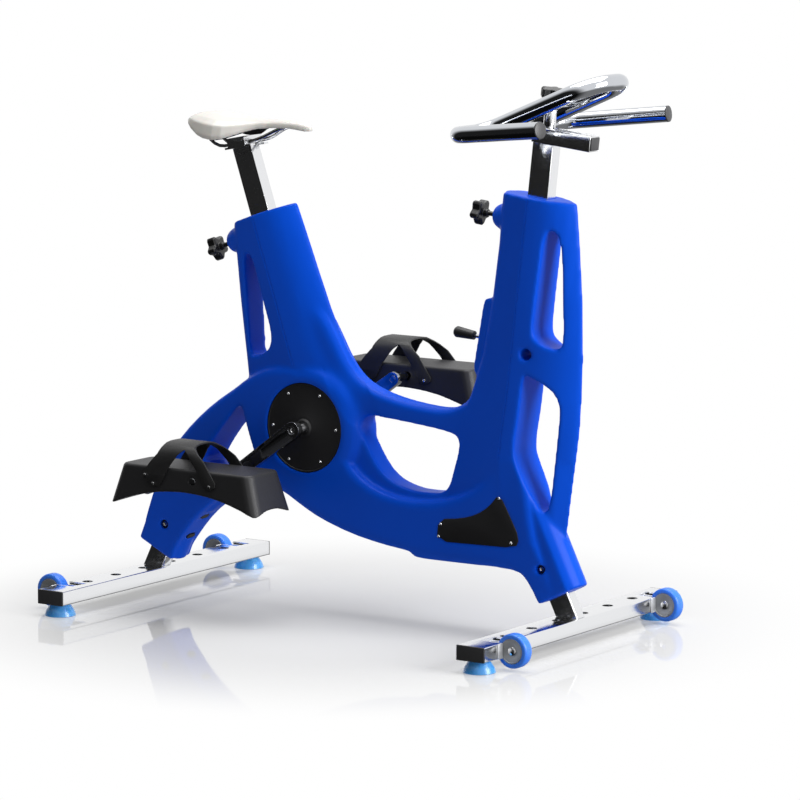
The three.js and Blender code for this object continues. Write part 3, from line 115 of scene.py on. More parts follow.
# A finish's grain: its size and height, its dullest and brightest roughness, and its stretch
polished_grain = 6 * MM, 0.004 * MM, 0.2, 0.1, (1, 0.04, 1)
# Stainless steel, ground and polished: a clear mirror with faint draw lines along the tube
polished, tree, shader, place = new_finish(
    "polished stainless steel", **{"Base Color": linear(STEEL), "Metallic": 1}
)
grain(tree, shader, place, *polished_grain)


def moved(form, *steps):
    """Moves all of a mesh by the steps in turn, and points its faces outwards."""
    for step in steps:
        bmesh.ops.transform(form, matrix=step, verts=form.verts)
    bmesh.ops.recalc_face_normals(form, faces=form.faces)
    return form


def shift(x, y, z):
    return Matrix.Translation(Vector((x, y, z)))


def turn(degrees, axis):
    return Matrix.Rotation(math.radians(degrees), 4, axis)


def bevelled(form, edges, radius, steps):
    """Rounds chosen edges."""
    bmesh.ops.bevel(
        form, geom=edges, offset=radius, offset_type="OFFSET", segments=steps, profile=0.5,
        affect="EDGES", clamp_overlap=True, material=-1,
    )
    return form


def soften_edges(form, radius, steps=2, angle=SHARP, shortest=0.0):
    """Rounds the sharp edges that are longer than a length."""
    edges = [
        edge
        for edge in form.edges
        if edge.is_manifold and edge.calc_face_angle(0) > angle and edge.calc_length() > shortest
    ]
    return bevelled(form, edges, radius, steps)


def box_form(low, high, radius=0.0, steps=3, form=None):
    """A box between two corners with its edges rounded."""
    box = bmesh.new()
    bmesh.ops.create_cube(box, size=1)
    low, high = Vector(low), Vector(high)
    bmesh.ops.scale(box, vec=high - low, verts=box.verts)
    bmesh.ops.translate(box, vec=(low + high) / 2, verts=box.verts)
    if radius:
        soften_edges(box, radius, steps)
    return joined(form, box) if form else box


def joined(form, other):
    """Adds another mesh to a mesh and frees the other."""
    passed = bpy.data.meshes.new("passed")
    other.to_mesh(passed)
    other.free()
    form.from_mesh(passed)
    bpy.data.meshes.remove(passed)
    return form


def prism(form, radius, low, high, *steps, segments=96):
    """Adds a round or many-sided bar about Z between two heights, moved by steps."""
    rod = bmesh.new()
    bmesh.ops.create_cone(
        rod, cap_ends=True, segments=segments, radius1=radius, radius2=radius, depth=high - low
    )
    return joined(form, moved(rod, shift(0, 0, (low + high) / 2), *steps))


def spun(profile, steps=64):
    """A profile of (radius, height) turned about Z."""
    form = bmesh.new()
    points = [form.verts.new((radius, 0, height)) for radius, height in profile]
    edges = [form.edges.new(pair) for pair in zip(points, points[1:])]
    bmesh.ops.spin(
        form, geom=points + edges, cent=(0, 0, 0), axis=(0, 0, 1), angle=math.tau,
        steps=steps, use_merge=True,
    )
    bmesh.ops.remove_doubles(form, verts=form.verts, dist=MERGE)
    bmesh.ops.recalc_face_normals(form, faces=form.faces)
    return form


def merged(node):
    """A copy of a frame node's mesh with its triangles joined up."""
    form = bmesh.new()
    form.from_mesh(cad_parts[node].data)
    bmesh.ops.remove_doubles(form, verts=form.verts, dist=MERGE)
    bmesh.ops.dissolve_limit(form, angle_limit=FLAT, verts=form.verts, edges=form.edges)
    return form


def piece(name, form, finish, body, slot, *nodes, angle=SHARP):
    """Makes a smooth-shaded object of a mesh, which rides on a body and replaces its nodes."""
    mesh = bpy.data.meshes.new(name)
    form.to_mesh(mesh)
    form.free()
    mesh.shade_smooth()
    mesh.set_sharp_from_angle(angle=angle)
    mesh.materials.append(finish)
    made = bpy.data.objects.new(name, mesh)
    bpy.context.scene.collection.objects.link(made)
    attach(made, body)
    if nodes:
        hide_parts(*nodes)
    return made


def settle(made, angle=SHARP):
    """Applies the modifiers of a piece to its mesh."""
    bpy.context.view_layer.update()
    graph = bpy.context.evaluated_depsgraph_get()
    old = made.data
    made.data = bpy.data.meshes.new_from_object(made.evaluated_get(graph))
    made.modifiers.clear()
    made.data.name = made.name
    made.data.shade_smooth()
    made.data.set_sharp_from_angle(angle=angle)
    bpy.data.meshes.remove(old)
    return made


def carve(made, cutter_form):
    """Cuts a form out of a piece."""
    mesh = bpy.data.meshes.new("cutter")
    cutter_form.to_mesh(mesh)
    cutter_form.free()
    cutter = bpy.data.objects.new("cutter", mesh)
    bpy.context.scene.collection.objects.link(cutter)
    saw = made.modifiers.new("cut", "BOOLEAN")
    saw.object = cutter
    saw.operation = "DIFFERENCE"
    saw.solver = "EXACT"
    settle(made)
    bpy.data.objects.remove(cutter)
    bpy.data.meshes.remove(mesh)
    return made


for end, out in ENDS.items():
    middle = bar_middles[end]
    tube = box_form(
        (middle.x - bar_width / 2, -bar_reach, middle.z),
        (middle.x + bar_width / 2, bar_reach, middle.z + bar_height),
    )
    soften_edges(tube, bar_corner, 4, shortest=bar_width + bar_wall)
    bar = piece(f"{end}_bar_tube", tube, polished, "frame", "steel", f"{end}_bar")
    inner = box_form(
        (middle.x - bar_width / 2 + bar_wall, -bar_reach - overrun, middle.z + bar_wall),
        (middle.x + bar_width / 2 - bar_wall, bar_reach + overrun, middle.z + bar_height - bar_wall),
    )
    carve(bar, inner)
    holes = bmesh.new()
    for i in range(drain_count):
        across = (i - (drain_count - 1) / 2) * drain_pitch
        place = shift(middle.x, across, middle.z + bar_height)
        prism(holes, drain_radius, -bar_height / 2, bar_height / 2, place, segments=drain_steps)
    for side in SIDES.values():
        ends = sorted((middle.x - out * notch_back, middle.x + out * (bar_width / 2 + overrun)))
        box_form(
            (ends[0], side * wheel_y - notch_right, middle.z - overrun),
            (ends[1], side * wheel_y + notch_left, middle.z + bar_height + overrun),
            form=holes,
        )
    carve(bar, holes)

# Bar end caps
# Flat black polyamide plugs that close the tubes. They are injection moulded, with a fine matt
# texture and a small radius round the face.
BLACK = "#222224"
PLUG_BLACK = "#39393B"
cap_edge = 1.2 * MM
moulded_grain, plug_grain = (0.9 * MM, 0.03 * MM, 0.52, 0.38), (0.9 * MM, 0.03 * MM, 0.5, 0.36)
# Moulded polyamide: a dull gloss over a spark-eroded texture, drawn coarse enough to show
moulded, tree, shader, place = new_finish(
    "moulded black polyamide", **{"Base Color": linear(BLACK), "IOR": 1.53}
)
grain(tree, shader, place, *moulded_grain)
plug_plastic, tree, shader, place = new_finish(
    "moulded dark grey polyamide", **{"Base Color": linear(PLUG_BLACK), "IOR": 1.53}
)
grain(tree, shader, place, *plug_grain)
for end in ENDS:
    for word in SIDES:
        node = f"{end}_bar_cap_{word}"
        cap = soften_edges(merged(node), cap_edge, 3)
        piece(f"{end}_cap_{word}", cap, plug_plastic, "frame", "black", node)

# Suction feet
# Cups of soft clear blue PVC under the bars' ends, moulded in one with the neck that is bolted
# into the tube. The thin lip grips the pool floor.
CUP = "#4FA3EA"
cup_y = 327.5 * MM
cup_glow = 8 * MM
cup_grain = 14 * MM, 0.02 * MM, 0.34, 0.24


def in_mm(rows):
    """A table written in millimetres, in metres."""
    return [tuple(value * MM for value in row) for row in rows]


# PVC with plasticiser: light goes a little way in, and the skin is smooth and wet looking
soft_pvc, tree, shader, place = new_finish("soft blue pvc", **{
    "Base Color": linear(CUP), "IOR": 1.53, "Subsurface Weight": 0.35, "Subsurface Scale": cup_glow,
    "Subsurface Radius": (0.3, 0.6, 1), "Coat Weight": 0.3, "Coat Roughness": 0.1,
})
grain(tree, shader, place, *cup_grain)
# Radius and height under the bar, from the hollow over the lip to the neck
cup_profile = in_mm([
    (0, -16.5), (14.4, -18.3), (24.96, -22.35), (29, -25.3), (30.8, -25.5), (32, -24.5),
    (31.52, -22.95), (30.4, -18.87), (28.8, -14.79), (26.24, -10.71), (23.04, -6.12), (20.5, -2.04),
    (19.885, -0.5), (18.45, -0.3), (0, -0.3),
])
for end in ENDS:
    for word, side in SIDES.items():
        middle = bar_middles[end]
        cup = moved(spun(cup_profile), shift(middle.x, side * cup_y, middle.z))
        node = f"{end}_suction_foot_{word}"
        piece(f"{end}_cup_{word}", cup, soft_pvc, "frame", "cup", node)

# Transport wheels
# Blue polyurethane tyres cast on dished grey discs. They touch the floor only when the bike is
# tipped, and turn on stainless bolts through brackets welded into the bars' notches.
TYRE = "#3680F4"
DISC = "#A9ABAE"
axle_reach, axle_height = 52 * MM, 15 * MM
bracket_edge = 0.8 * MM
tyre_glow = 3 * MM
tyre_grain, disc_grain = (5 * MM, 0.02 * MM, 0.46, 0.34), (3 * MM, 0.02 * MM, 0.55, 0.42)
brushed_grain = 2 * MM, 0.01 * MM, 0.5, 0.36, (0.06, 1, 1)
# Cast polyurethane: even colour, a satin skin and a trace of the mould's turning marks
urethane, tree, shader, place = new_finish("cast blue polyurethane", **{
    "Base Color": linear(TYRE), "IOR": 1.5, "Subsurface Weight": 0.1, "Subsurface Scale": tyre_glow,
    "Coat Weight": 0.15, "Coat Roughness": 0.25,
})
grain(tree, shader, place, *tyre_grain)
# Zinc alloy, die cast and tumbled: soft silver with slight clouding
cast_disc, tree, shader, place = new_finish(
    "tumbled zinc alloy", **{"Base Color": linear(DISC), "Metallic": 0.5}
)
grain(tree, shader, place, *disc_grain)
# Stainless sheet, brushed before welding: soft silver streaks along the bracket
brushed, tree, shader, place = new_finish(
    "brushed stainless steel", **{"Base Color": linear(STEEL), "Metallic": 0.85}
)
grain(tree, shader, place, *brushed_grain)
# Radius and place along the axis; the outer side of a wheel is at the low end
tyre_profile = in_mm([
    (24.8, -11.7), (25.6, -12.5), (29, -12.5), (31.6, -11.6), (33.3, -9.8), (34, -7), (34, 7),
    (33.3, 9.8), (31.6, 11.6), (29, 12.5), (25.6, 12.5), (24.8, 11.7), (24.8, -11.7),
])
disc_profile = in_mm([
    (5.3, -8), (10, -8), (11.3, -8.4), (16.17, -10.2), (20.58, -11.4), (21.56, -11.5),
    (22.295, -12.4), (24.01, -12.4), (24.5, -11.9), (24.5, 11), (21.315, 11), (19.6, -5),
    (11.76, -2), (10.5, 12.2), (5.3, 12.2), (5.3, -8),
])
washer_profile = in_mm([(4, -9.9), (8.4, -9.9), (8.8, -9.5), (8.8, -8.6), (4, -8.6), (4, -9.9)])
shank_profile = in_mm([(0, -10), (5, -10), (5, 26), (4.4, 26.6), (0, 26.6)])
# Hexagons: width across the flats, low and high end, chamfer
bolt_head, bolt_nut = in_mm([(13, -12.4, -9.9, 0.5), (14, 19.4, 25.3, 0.6)])


def hexagon(across, low, high, chamfer):
    """A bolt head or nut about Z with its corners chamfered."""
    return soften_edges(prism(bmesh.new(), across / math.sqrt(3), low, high, segments=6), chamfer)


for end, out in ENDS.items():
    for word, side in SIDES.items():
        middle = bar_middles[end]
        centre = shift(middle.x + out * axle_reach, side * wheel_y, middle.z + axle_height)
        along = turn(-90, "X")
        body = f"{end}_wheel_{word}"
        tyre = moved(spun(tyre_profile, 96), centre @ along)
        node = f"{end}_wheel_tyre_{word}"
        piece(f"{end}_tread_{word}", tyre, urethane, body, "tyre", node)
        disc = moved(spun(disc_profile), centre @ along)
        node = f"{end}_wheel_disc_{word}"
        piece(f"{end}_dish_{word}", disc, cast_disc, body, "black", node)
        node = f"{end}_wheel_bracket_{word}"
        bracket = soften_edges(merged(node), bracket_edge)
        piece(f"{end}_bracket_{word}", bracket, brushed, "frame", "steel", node)
        bolt = hexagon(*bolt_head)
        joined(bolt, spun(washer_profile, 48))
        joined(bolt, spun(shank_profile, 32))
        joined(bolt, hexagon(*bolt_nut))
        moved(bolt, centre @ along)
        node = f"{end}_axle_bolt_{word}"
        piece(f"{end}_wheel_bolt_{word}", bolt, polished, "frame", "steel", node)

# Legs and their cross bolts
# Rectangular stainless tubes welded to the bars. Each goes up into a foot of the shell, where a
# through bolt holds it, with a cap head over a black ring in its recess at each side.
leg_lean = 26
foot_bolt_height = 106 * MM
foot_bolt_seat = 29.3 * MM
leg_corner, leg_run = 3 * MM, 100 * MM
# Radius and height over the bolt's seat
cap_head = in_mm([(0, 0.4), (5.4, 0.4), (5.4, 3.6), (4.4, 5.2), (2.8, 5.6), (2.4, 3), (0, 3)])
# A black ring round each cap head, filling the floor of its recess
black_ring = in_mm([
    (5.6, -1.2), (9.2, -1.2), (9.2, 0.6), (8.6, 1.2), (6.2, 1.2), (5.6, 0.6), (5.6, -1.2),
])
foot_shank = in_mm([(0, -30), (4, -30), (4, 30), (0, 30)])
for end, out in ENDS.items():
    leg = merged(f"{end}_leg")
    soften_edges(leg, leg_corner, 4, shortest=leg_run)
    piece(f"{end}_leg_tube", leg, polished, "frame", "steel", f"{end}_leg")
    base = bar_middles[end] + Vector((0, 0, bar_height))
    lean = shift(*base) @ turn(-out * leg_lean, "Y")
    up = shift(0, 0, foot_bolt_height)
    bolt = bmesh.new()
    dark_rings = bmesh.new()
    for side in SIDES.values():
        outward = turn(-side * 90, "X") @ shift(0, 0, foot_bolt_seat)
        joined(bolt, moved(spun(cap_head, 48), outward, up))
        joined(dark_rings, moved(spun(black_ring, 48), outward, up))
    moved(dark_rings, lean)
    piece(f"{end}_bolt_dark_rings", dark_rings, moulded, "frame", "black")
    joined(bolt, moved(spun(foot_shank, 24), turn(90, "X"), up))
    moved(bolt, lean)
    node = f"{end}_foot_bolt"
    piece(f"{end}_leg_bolt", bolt, polished, "frame", "steel", node)

# Frame shell
# One hollow rotation moulding of blue polyethylene, with both columns, the hub and the feet. Its
# walls run into each other with large soft radii, and a crease runs down each side of a column.
# Black plugs in the two drain slots in the rear foot are painted shade: they stand in for the dark of
# the unlit hollow inside.
BLUE = "#0053E0"
BLUE_DEEP = "#004CD2"
shell_edge, shell_voxel, shell_passes, shell_share = 5 * MM, 3 * MM, 9, 0.52
smooth_factor = 0.5
shell_grain, cloud_size, cloud_detail = (2.2 * MM, 0.05 * MM, 0.44, 0.36), 180 * MM, 2
# Rotomoulded polyethylene: waxy satin with a slight orange peel from the mould, and a colour that
# is a little uneven where the powder fused
polyethylene, tree, shader, place = new_finish(
    "rotomoulded blue polyethylene",
    **{"Base Color": linear(BLUE), "IOR": 1.5, "Specular IOR Level": 0.12},
)
grain(tree, shader, place, *shell_grain)
clouds = add_node(tree, "TexNoise", {"Vector": place, "Scale": 1 / cloud_size, "Detail": cloud_detail})
tint = add_node(tree, "Mix", {"Factor": clouds.outputs[0]}, data_type="RGBA")
tint.inputs["A"].default_value = linear(BLUE_DEEP)
tint.inputs["B"].default_value = linear(BLUE)
tree.links.new(tint.outputs["Result"], shader.inputs["Base Color"])
# Millimetres up and forward from the rear bar: height, crease, nose and half width at the crease
column_stations = {
    "seat": [
        (960, 229, 308, 42), (880, 250, 339, 42), (816, 271, 365, 42), (750, 293, 392, 42),
        (680, 317, 420, 42), (607, 342, 450, 42), (538, 365, 482, 42), (488, 382, 515, 42),
    ],
    "front": [
        (960, 959, 1037, 44), (905, 953, 1037, 44), (845, 946, 1037, 44), (765, 937, 1044, 44.5),
        (657, 925, 1051, 45), (543, 912, 1053, 46), (460, 903, 1050, 48), (400, 893, 1046, 48),
        (340, 885, 1038, 48),
    ],
}
# A nose is drawn with flats: its half width falls by this power, in so many steps, up to its tip
nose_steps, nose_power, nose_tip = 5, 0.85, 0.97
fair_reach = 4 * MM
crease_press, crease_fade = 0.45, 0.2
groove_half, groove_depth, groove_reach, column_flank = 0.8 * MM, 0.7 * MM, 9 * MM, 27 * MM
groove_slack = 0.01 * MM
# The blend low on the seat column: places forward and up, with how far round them it reaches
blend_line = [(418, 640), (450, 565), (475, 513), (512, 446), (548, 405)]
blend_reach, blend_passes = 34 * MM, 60


def remoulded(name, edge, voxel, passes, finish, body, slot, node):
    """A soft-edged moulding made from a frame node: edges rounded, even small faces, smoothed."""
    form = merged(node)
    if edge:
        soften_edges(form, edge, 2, shortest=edge)
    made = piece(name, form, finish, body, slot, node)
    remesh = made.modifiers.new("even faces", "REMESH")
    remesh.mode = "VOXEL"
    remesh.voxel_size = voxel
    if passes:
        soften = made.modifiers.new("soft edges", "SMOOTH")
        soften.factor = smooth_factor
        soften.iterations = passes
    return settle(made, angle=math.pi)


def relaxed(form, verts, passes):
    """Draws vertices towards their neighbours."""
    for i in range(passes):
        bmesh.ops.smooth_vert(
            form, verts=verts, factor=smooth_factor, use_axis_x=True, use_axis_y=True, use_axis_z=True
        )


def nose_at(rows, height):
    """The crease, the nose and the half width of a column at a height."""
    for above, below in zip(rows, rows[1:]):
        if below[0] * MM <= height <= above[0] * MM:
            share = (height - below[0] * MM) / ((above[0] - below[0]) * MM)
            return [(b + (a - b) * share) * MM for a, b in zip(above[1:], below[1:])]
    return None


def fair_noses(form):
    """Draws the flats of both noses into one curve that starts with a step at the crease."""
    for vert in form.verts:
        for rows in column_stations.values():
            found = nose_at(rows, vert.co.z - bike_origin.z)
            if not found:
                continue
            crease, nose, half = found
            along = (vert.co.x - bike_origin.x - crease) / (nose - crease)
            if not 0 < along < nose_tip:
                continue
            step = int(along * nose_steps)
            first, last = [half * (1 - (i / nose_steps) ** 2) ** nose_power for i in (step, step + 1)]
            flat = first + (last - first) * (along * nose_steps - step)
            curve = half * (1 - along**2) ** nose_power
            curve *= 1 - crease_press * along * math.exp(-along / crease_fade)
            near = max(0, 1 - abs(abs(vert.co.y) - flat) / fair_reach)
            vert.co.y *= 1 + (curve / flat - 1) * near


def off_run(spot, start, stop):
    """How far a spot lies from the straight run between two places."""
    run = stop - start
    share = min(1, max(0, (spot - start).dot(run) / run.length_squared))
    return (spot - start - run * share).length


def soften_blend(form):
    """Smooths the shell round the low end of the seat column."""
    places = [bike_origin + Vector((x * MM, 0, z * MM)) for x, z in blend_line]
    low = min(place.z for place in places) - blend_reach
    high = max(place.z for place in places) + blend_reach
    chosen = []
    for vert in form.verts:
        if low < vert.co.z < high and abs(vert.co.y) > column_flank / 2:
            spot = Vector((vert.co.x, 0, vert.co.z))
            if any(off_run(spot, a, b) < blend_reach for a, b in zip(places, places[1:])):
                chosen.append(vert)
    relaxed(form, chosen, blend_passes)


def press_crease(form, rows):
    """Cuts a fine groove along a column's crease in both sides."""
    for above, below in zip(rows, rows[1:]):
        top = bike_origin + Vector((above[1] * MM, 0, above[0] * MM))
        foot = bike_origin + Vector((below[1] * MM, 0, below[0] * MM))
        square = (top - foot).cross(Vector((0, 1, 0))).normalized()
        faces = []
        for face in form.faces:
            centre = face.calc_center_median()
            if foot.z <= centre.z < top.z and abs(centre.y) > column_flank:
                if abs((centre - foot).dot(square)) < groove_reach:
                    faces.append(face)
        parts = list({edge for face in faces for edge in face.edges})
        parts += list({vert for face in faces for vert in face.verts}) + faces
        for offset in (-groove_half, groove_half, 0):
            parts = bmesh.ops.bisect_plane(
                form, geom=parts, plane_co=foot + square * offset, plane_no=square, dist=MERGE
            )["geom"]
        for part in parts:
            if isinstance(part, bmesh.types.BMVert):
                if abs((part.co - foot).dot(square)) < groove_slack:
                    part.co.y -= math.copysign(groove_depth, part.co.y)


shell = remoulded(
    "frame_shell", shell_edge, shell_voxel, 0, polyethylene, "frame", "shell", "body_shell"
)
form = bmesh.new()
form.from_mesh(shell.data)
fair_noses(form)
relaxed(form, form.verts, shell_passes)
soften_blend(form)
for rows in column_stations.values():
    press_crease(form, rows)
bmesh.ops.triangulate(form, faces=form.faces)
form.to_mesh(shell.data)
form.free()
thin = shell.modifiers.new("fewer faces", "DECIMATE")
thin.ratio = shell_share
settle(shell, angle=math.pi)
# Crisp edges, where the mould has inserts: hub cover seats, foot bolt recesses, post sockets and
# drain slots. Each slot gets a black plug as painted shade, standing in for the dark of the unlit
# hollow seen through it.
SHELL_SHARP = math.radians(50)
seat_radius, seat_floor, cutter_reach = 92.6 * MM, 35.8 * MM, 60 * MM
recess_radius, recess_floor = 10 * MM, 27.5 * MM
slot_places, slot_lean = [(125, 146), (88, 101)], 39.4
slot_radius, slot_half, slot_depth = 5.4 * MM, 7.2 * MM, 12 * MM
slot_round_share, slot_steps = 0.98, 10
shade_plug_depth, shade_plug_stand, shade_plug_clearance = 9 * MM, 2.6 * MM, 0.1 * MM
hub_x, hub_z = 411.9 * MM, 361.3 * MM
# Sockets of the two posts: the place of a post's clamp, its lean, and the depth of its socket
post_sockets = {
    "seat": (Vector((283.7 * MM, 0, 783 * MM)), -18.65, 293 * MM),
    "front": (Vector((953.5 * MM, 0, 860 * MM)), 6.43, 283 * MM),
}
socket_wide, socket_deep, socket_rise = 23.4 * MM, 15.4 * MM, 120 * MM
cutters = bmesh.new()
for side in SIDES.values():
    facing = turn(-side * 90, "X")
    hub_place = shift(bike_origin.x + hub_x, 0, bike_origin.z + hub_z)
    prism(cutters, seat_radius, seat_floor, cutter_reach, facing, hub_place)
    for end, out in ENDS.items():
        lean = shift(*(bar_middles[end] + Vector((0, 0, bar_height)))) @ turn(-out * leg_lean, "Y")
        up = shift(0, 0, foot_bolt_height)
        prism(cutters, recess_radius, recess_floor, cutter_reach, facing, up, lean)
for place, lean, depth in post_sockets.values():
    bore = box_form((-socket_wide, -socket_deep, -depth), (socket_wide, socket_deep, socket_rise))
    moved(bore, turn(lean, "Y"), shift(*(bike_origin + place)))
    joined(cutters, bore)
carve(shell, cutters)


def oblong(low, high, clearance):
    """A bar with round ends that fills a drain slot between two depths."""
    radius = slot_radius - clearance
    reach = slot_half + radius
    bar = box_form((low, -reach, -radius), (high, reach, radius))
    along = [e for e in bar.edges if abs((e.verts[0].co - e.verts[1].co).x) > (high - low) / 2]
    return bevelled(bar, along, radius * slot_round_share, slot_steps)


# The drain slots are cut, and black plugs are set in them as painted shade for the unlit hollow
slots, shade_plugs = bmesh.new(), bmesh.new()
for x, z in slot_places:
    place = shift(bike_origin.x + x * MM, 0, bike_origin.z + z * MM) @ turn(slot_lean, "Y")
    joined(slots, moved(oblong(-slot_depth, cutter_reach, 0), place))
    joined(shade_plugs, moved(oblong(-shade_plug_depth, shade_plug_stand, shade_plug_clearance), place))
carve(shell, slots)
shell.data.set_sharp_from_angle(angle=SHELL_SHARP)
# Painted shade: black plugs in the drain slots, in place of the dark unlit hollow
piece("drain_shade_plugs", shade_plugs, moulded, "frame", "black")

# Access cover
# A black plate over the opening low on the shell's right side, cut from sheet plastic and held by
# four small dome-head screws. Its printed words are left off, so the plate is bare.
cover_edge = 0.8 * MM
access_screw_places = [(886, 260), (747, 195), (742, 170), (914, 173)]
shell_face = 46 * MM
dome_screw = in_mm([
    (0, -1), (3.2, -1), (3.2, 0.2), (2.88, 0.7), (2.176, 1.3), (1.4, 1.6), (1.4, 0.6), (0, 0.6),
])
access = soften_edges(merged("access_cover"), cover_edge)
piece("access_plate", access, moulded, "frame", "black", "access_cover")


def side_screws(places, face, side):
    """Dome screws on a face across the bike, at places forward and up from the rear bar."""
    screws = bmesh.new()
    for x, z in places:
        screw = spun(dome_screw, 24)
        standing = turn(-side * 90, "X")
        joined(screws, moved(screw, standing, shift(x * MM, side * face, z * MM)))
    return moved(screws, shift(*bike_origin))


cover_screws = side_screws(access_screw_places, shell_face, -1)
piece("access_screws", cover_screws, polished, "frame", "steel")

# Resistance lever
# A short steel arm that comes out of a slot in the front column, with a black grip. It presses a
# pad in the drive when the rider moves it up or down.
lever_edge = 0.6 * MM
lever = soften_edges(merged("resistance_lever"), lever_edge)
piece("lever_arm", lever, polished, "resistance", "black", "resistance_lever")
grip = soften_edges(merged("resistance_grip"), lever_edge)
piece("lever_grip", grip, moulded, "resistance", "black", "resistance_grip")

# Hub covers
# Flat round covers of black plastic over the drive on both sides, each with a low rim, a boss ring
# round the spindle and six small screws near its edge.
hub_screws, hub_screw_circle, hub_screw_start = 6, 78 * MM, 0.5
hub_screw_face = 43.7 * MM
# Radius and distance from the bike's middle: plate, rim, sunk face and boss ring
hub_profile = in_mm([
    (10.3, 36), (91.8, 36), (91.8, 43.7), (91, 44.5), (88.8, 44.5), (88, 43.7), (27, 43.7),
    (25, 44.9), (19, 45.3), (17, 47), (15.5, 48.5), (11.3, 48.5), (10.3, 47.5), (10.3, 36),
])
for word, side in SIDES.items():
    place = shift(bike_origin.x + hub_x, 0, bike_origin.z + hub_z) @ turn(-side * 90, "X")
    cover = moved(spun(hub_profile, 128), place)
    piece(f"hub_disc_{word}", cover, moulded, "frame", "black", f"hub_cover_{word}")
    places = []
    for i in range(hub_screws):
        angle = math.radians(hub_screw_start + 360 * i / hub_screws)
        places.append((
            (hub_x + hub_screw_circle * math.cos(angle)) / MM,
            (hub_z + hub_screw_circle * math.sin(angle)) / MM,
        ))
    screws = side_screws(places, hub_screw_face, side)
    piece(f"hub_screws_{word}", screws, polished, "frame", "steel")

# Crank set
# A steel spindle through the hub with a forged arm on each end, chrome plated, each with a long
# recess in its outer face, and held by a cap bolt.
CRANK = "#A4A6AB"
crank_length, crank_lean, crank_face = 170 * MM, 35.2, 84.5 * MM
arm_edge = 1.2 * MM
chrome_grain = 10 * MM, 0.003 * MM, 0.09, 0.05
# Chrome on forged steel: a mirror a little darker than the bars
forged_chrome, tree, shader, place = new_finish(
    "chrome on forged steel", **{"Base Color": linear(CRANK), "Metallic": 1}
)
grain(tree, shader, place, *chrome_grain)
axle = soften_edges(merged("spindle"), lever_edge)
piece("drive_spindle", axle, polished, "crank_set", "steel", "spindle")
cap_bolt = in_mm([
    (0, -0.5), (7.6, -0.5), (7.6, 0.6), (6.8, 1.4), (4, 1.6), (3.6, 1.2), (3.4, 0.2), (0, 0.2),
])
for word, side in SIDES.items():
    arm = soften_edges(merged(f"crank_arm_{word}"), arm_edge, 3)
    piece(f"arm_{word}", arm, forged_chrome, "crank_set", "crank", f"crank_arm_{word}")
    place = shift(bike_origin.x + hub_x, 0, bike_origin.z + hub_z)
    cap = moved(spun(cap_bolt, 48), turn(-side * 90, "X"), shift(0, side * crank_face, 0), place)
    piece(f"arm_bolt_{word}", cap, polished, "crank_set", "steel")
    axle = soften_edges(merged(f"pedal_spindle_{word}"), lever_edge)
    node = f"pedal_spindle_{word}"
    piece(f"pedal_axle_{word}", axle, forged_chrome, "crank_set", "crank", node)

# Pedals
# Long buoyant foot floats of black foam-filled plastic that turn on the axles, with arched undersides
# and soft corners, and a rubber strap over each that is riveted to both sides.
STRAP = "#19191A"
pedal_edge, pedal_voxel, pedal_passes = 5 * MM, 2 * MM, 5
strap_edge = 0.6 * MM
pedal_grain, strap_grain = (1.6 * MM, 0.08 * MM, 0.6, 0.42), (1.7 * MM, 0.16 * MM, 0.7, 0.4)
rivet_places = [(-117.5, 5), (-95.5, -11), (45.5, -6)]
pedal_inner, pedal_top_half, pedal_base_half = 117 * MM, 55 * MM, 65 * MM
pedal_rise, pedal_drop = 23 * MM, 60 * MM
strap_stand = 4.6 * MM
# Polyurethane integral skin: matt, with a leathery pebble from the mould
pedal_skin, tree, shader, place = new_finish(
    "black integral-skin polyurethane", **{"Base Color": linear(BLACK), "IOR": 1.5}
)
grain(tree, shader, place, *pedal_grain)
# Vulcanised rubber: dull black with a coarse speckle
strap_rubber, tree, shader, place = new_finish(
    "vulcanised black rubber", **{"Base Color": linear(STRAP), "IOR": 1.52}
)
grain(tree, shader, place, *strap_grain)
# The hole in a pedal's outer side, with the nut on the end of the axle in it
nut_hole, nut_floor, nut_reach = 8 * MM, 231 * MM, 300 * MM
axle_nut = in_mm([(0, -1), (5.6, -1), (5.6, 1.6), (4.6, 2.6), (2.4, 2.8), (2, 1.6), (0, 1.6)])
rivet_dome = in_mm([(0, -1), (3.4, -1), (3.4, 0.1), (3, 0.9), (1.8, 1.5), (0, 1.7)])
for word, side in SIDES.items():
    body = f"pedal_{word}"
    float_piece = remoulded(
        f"pedal_float_{word}", pedal_edge, pedal_voxel, pedal_passes, pedal_skin, f"{word}_pedal",
        "black", body,
    )
    strap = soften_edges(merged(f"strap_{word}"), strap_edge, 2, angle=SHELL_SHARP)
    piece(f"foot_strap_{word}", strap, strap_rubber, f"{word}_pedal", "rubber", f"strap_{word}")
    lean = math.radians(crank_lean)
    axle_x = bike_origin.x + hub_x + side * crank_length * math.cos(lean)
    axle_z = bike_origin.z + hub_z + side * crank_length * math.sin(lean)
    middle = side * (pedal_inner + pedal_base_half)
    axle_place = shift(axle_x, 0, axle_z)
    outward = turn(-side * 90, "X")
    carve(float_piece, prism(bmesh.new(), nut_hole, nut_floor, nut_reach, outward, axle_place))
    rivets = moved(spun(axle_nut, 32), outward, shift(0, side * nut_floor, 0), axle_place)
    flank_lean = math.atan2(pedal_base_half - pedal_top_half, pedal_rise + pedal_drop)
    for x, z in rivet_places:
        half = pedal_top_half + (pedal_rise - z * MM) * math.tan(flank_lean) + strap_stand
        for face in SIDES.values():
            rivet = moved(
                spun(rivet_dome, 24),
                turn(-face * (90 - math.degrees(flank_lean)), "X"),
                shift(axle_x + x * MM, middle + face * half, axle_z + z * MM),
            )
            joined(rivets, rivet)
    piece(f"strap_rivets_{word}", rivets, polished, f"{word}_pedal", "steel")

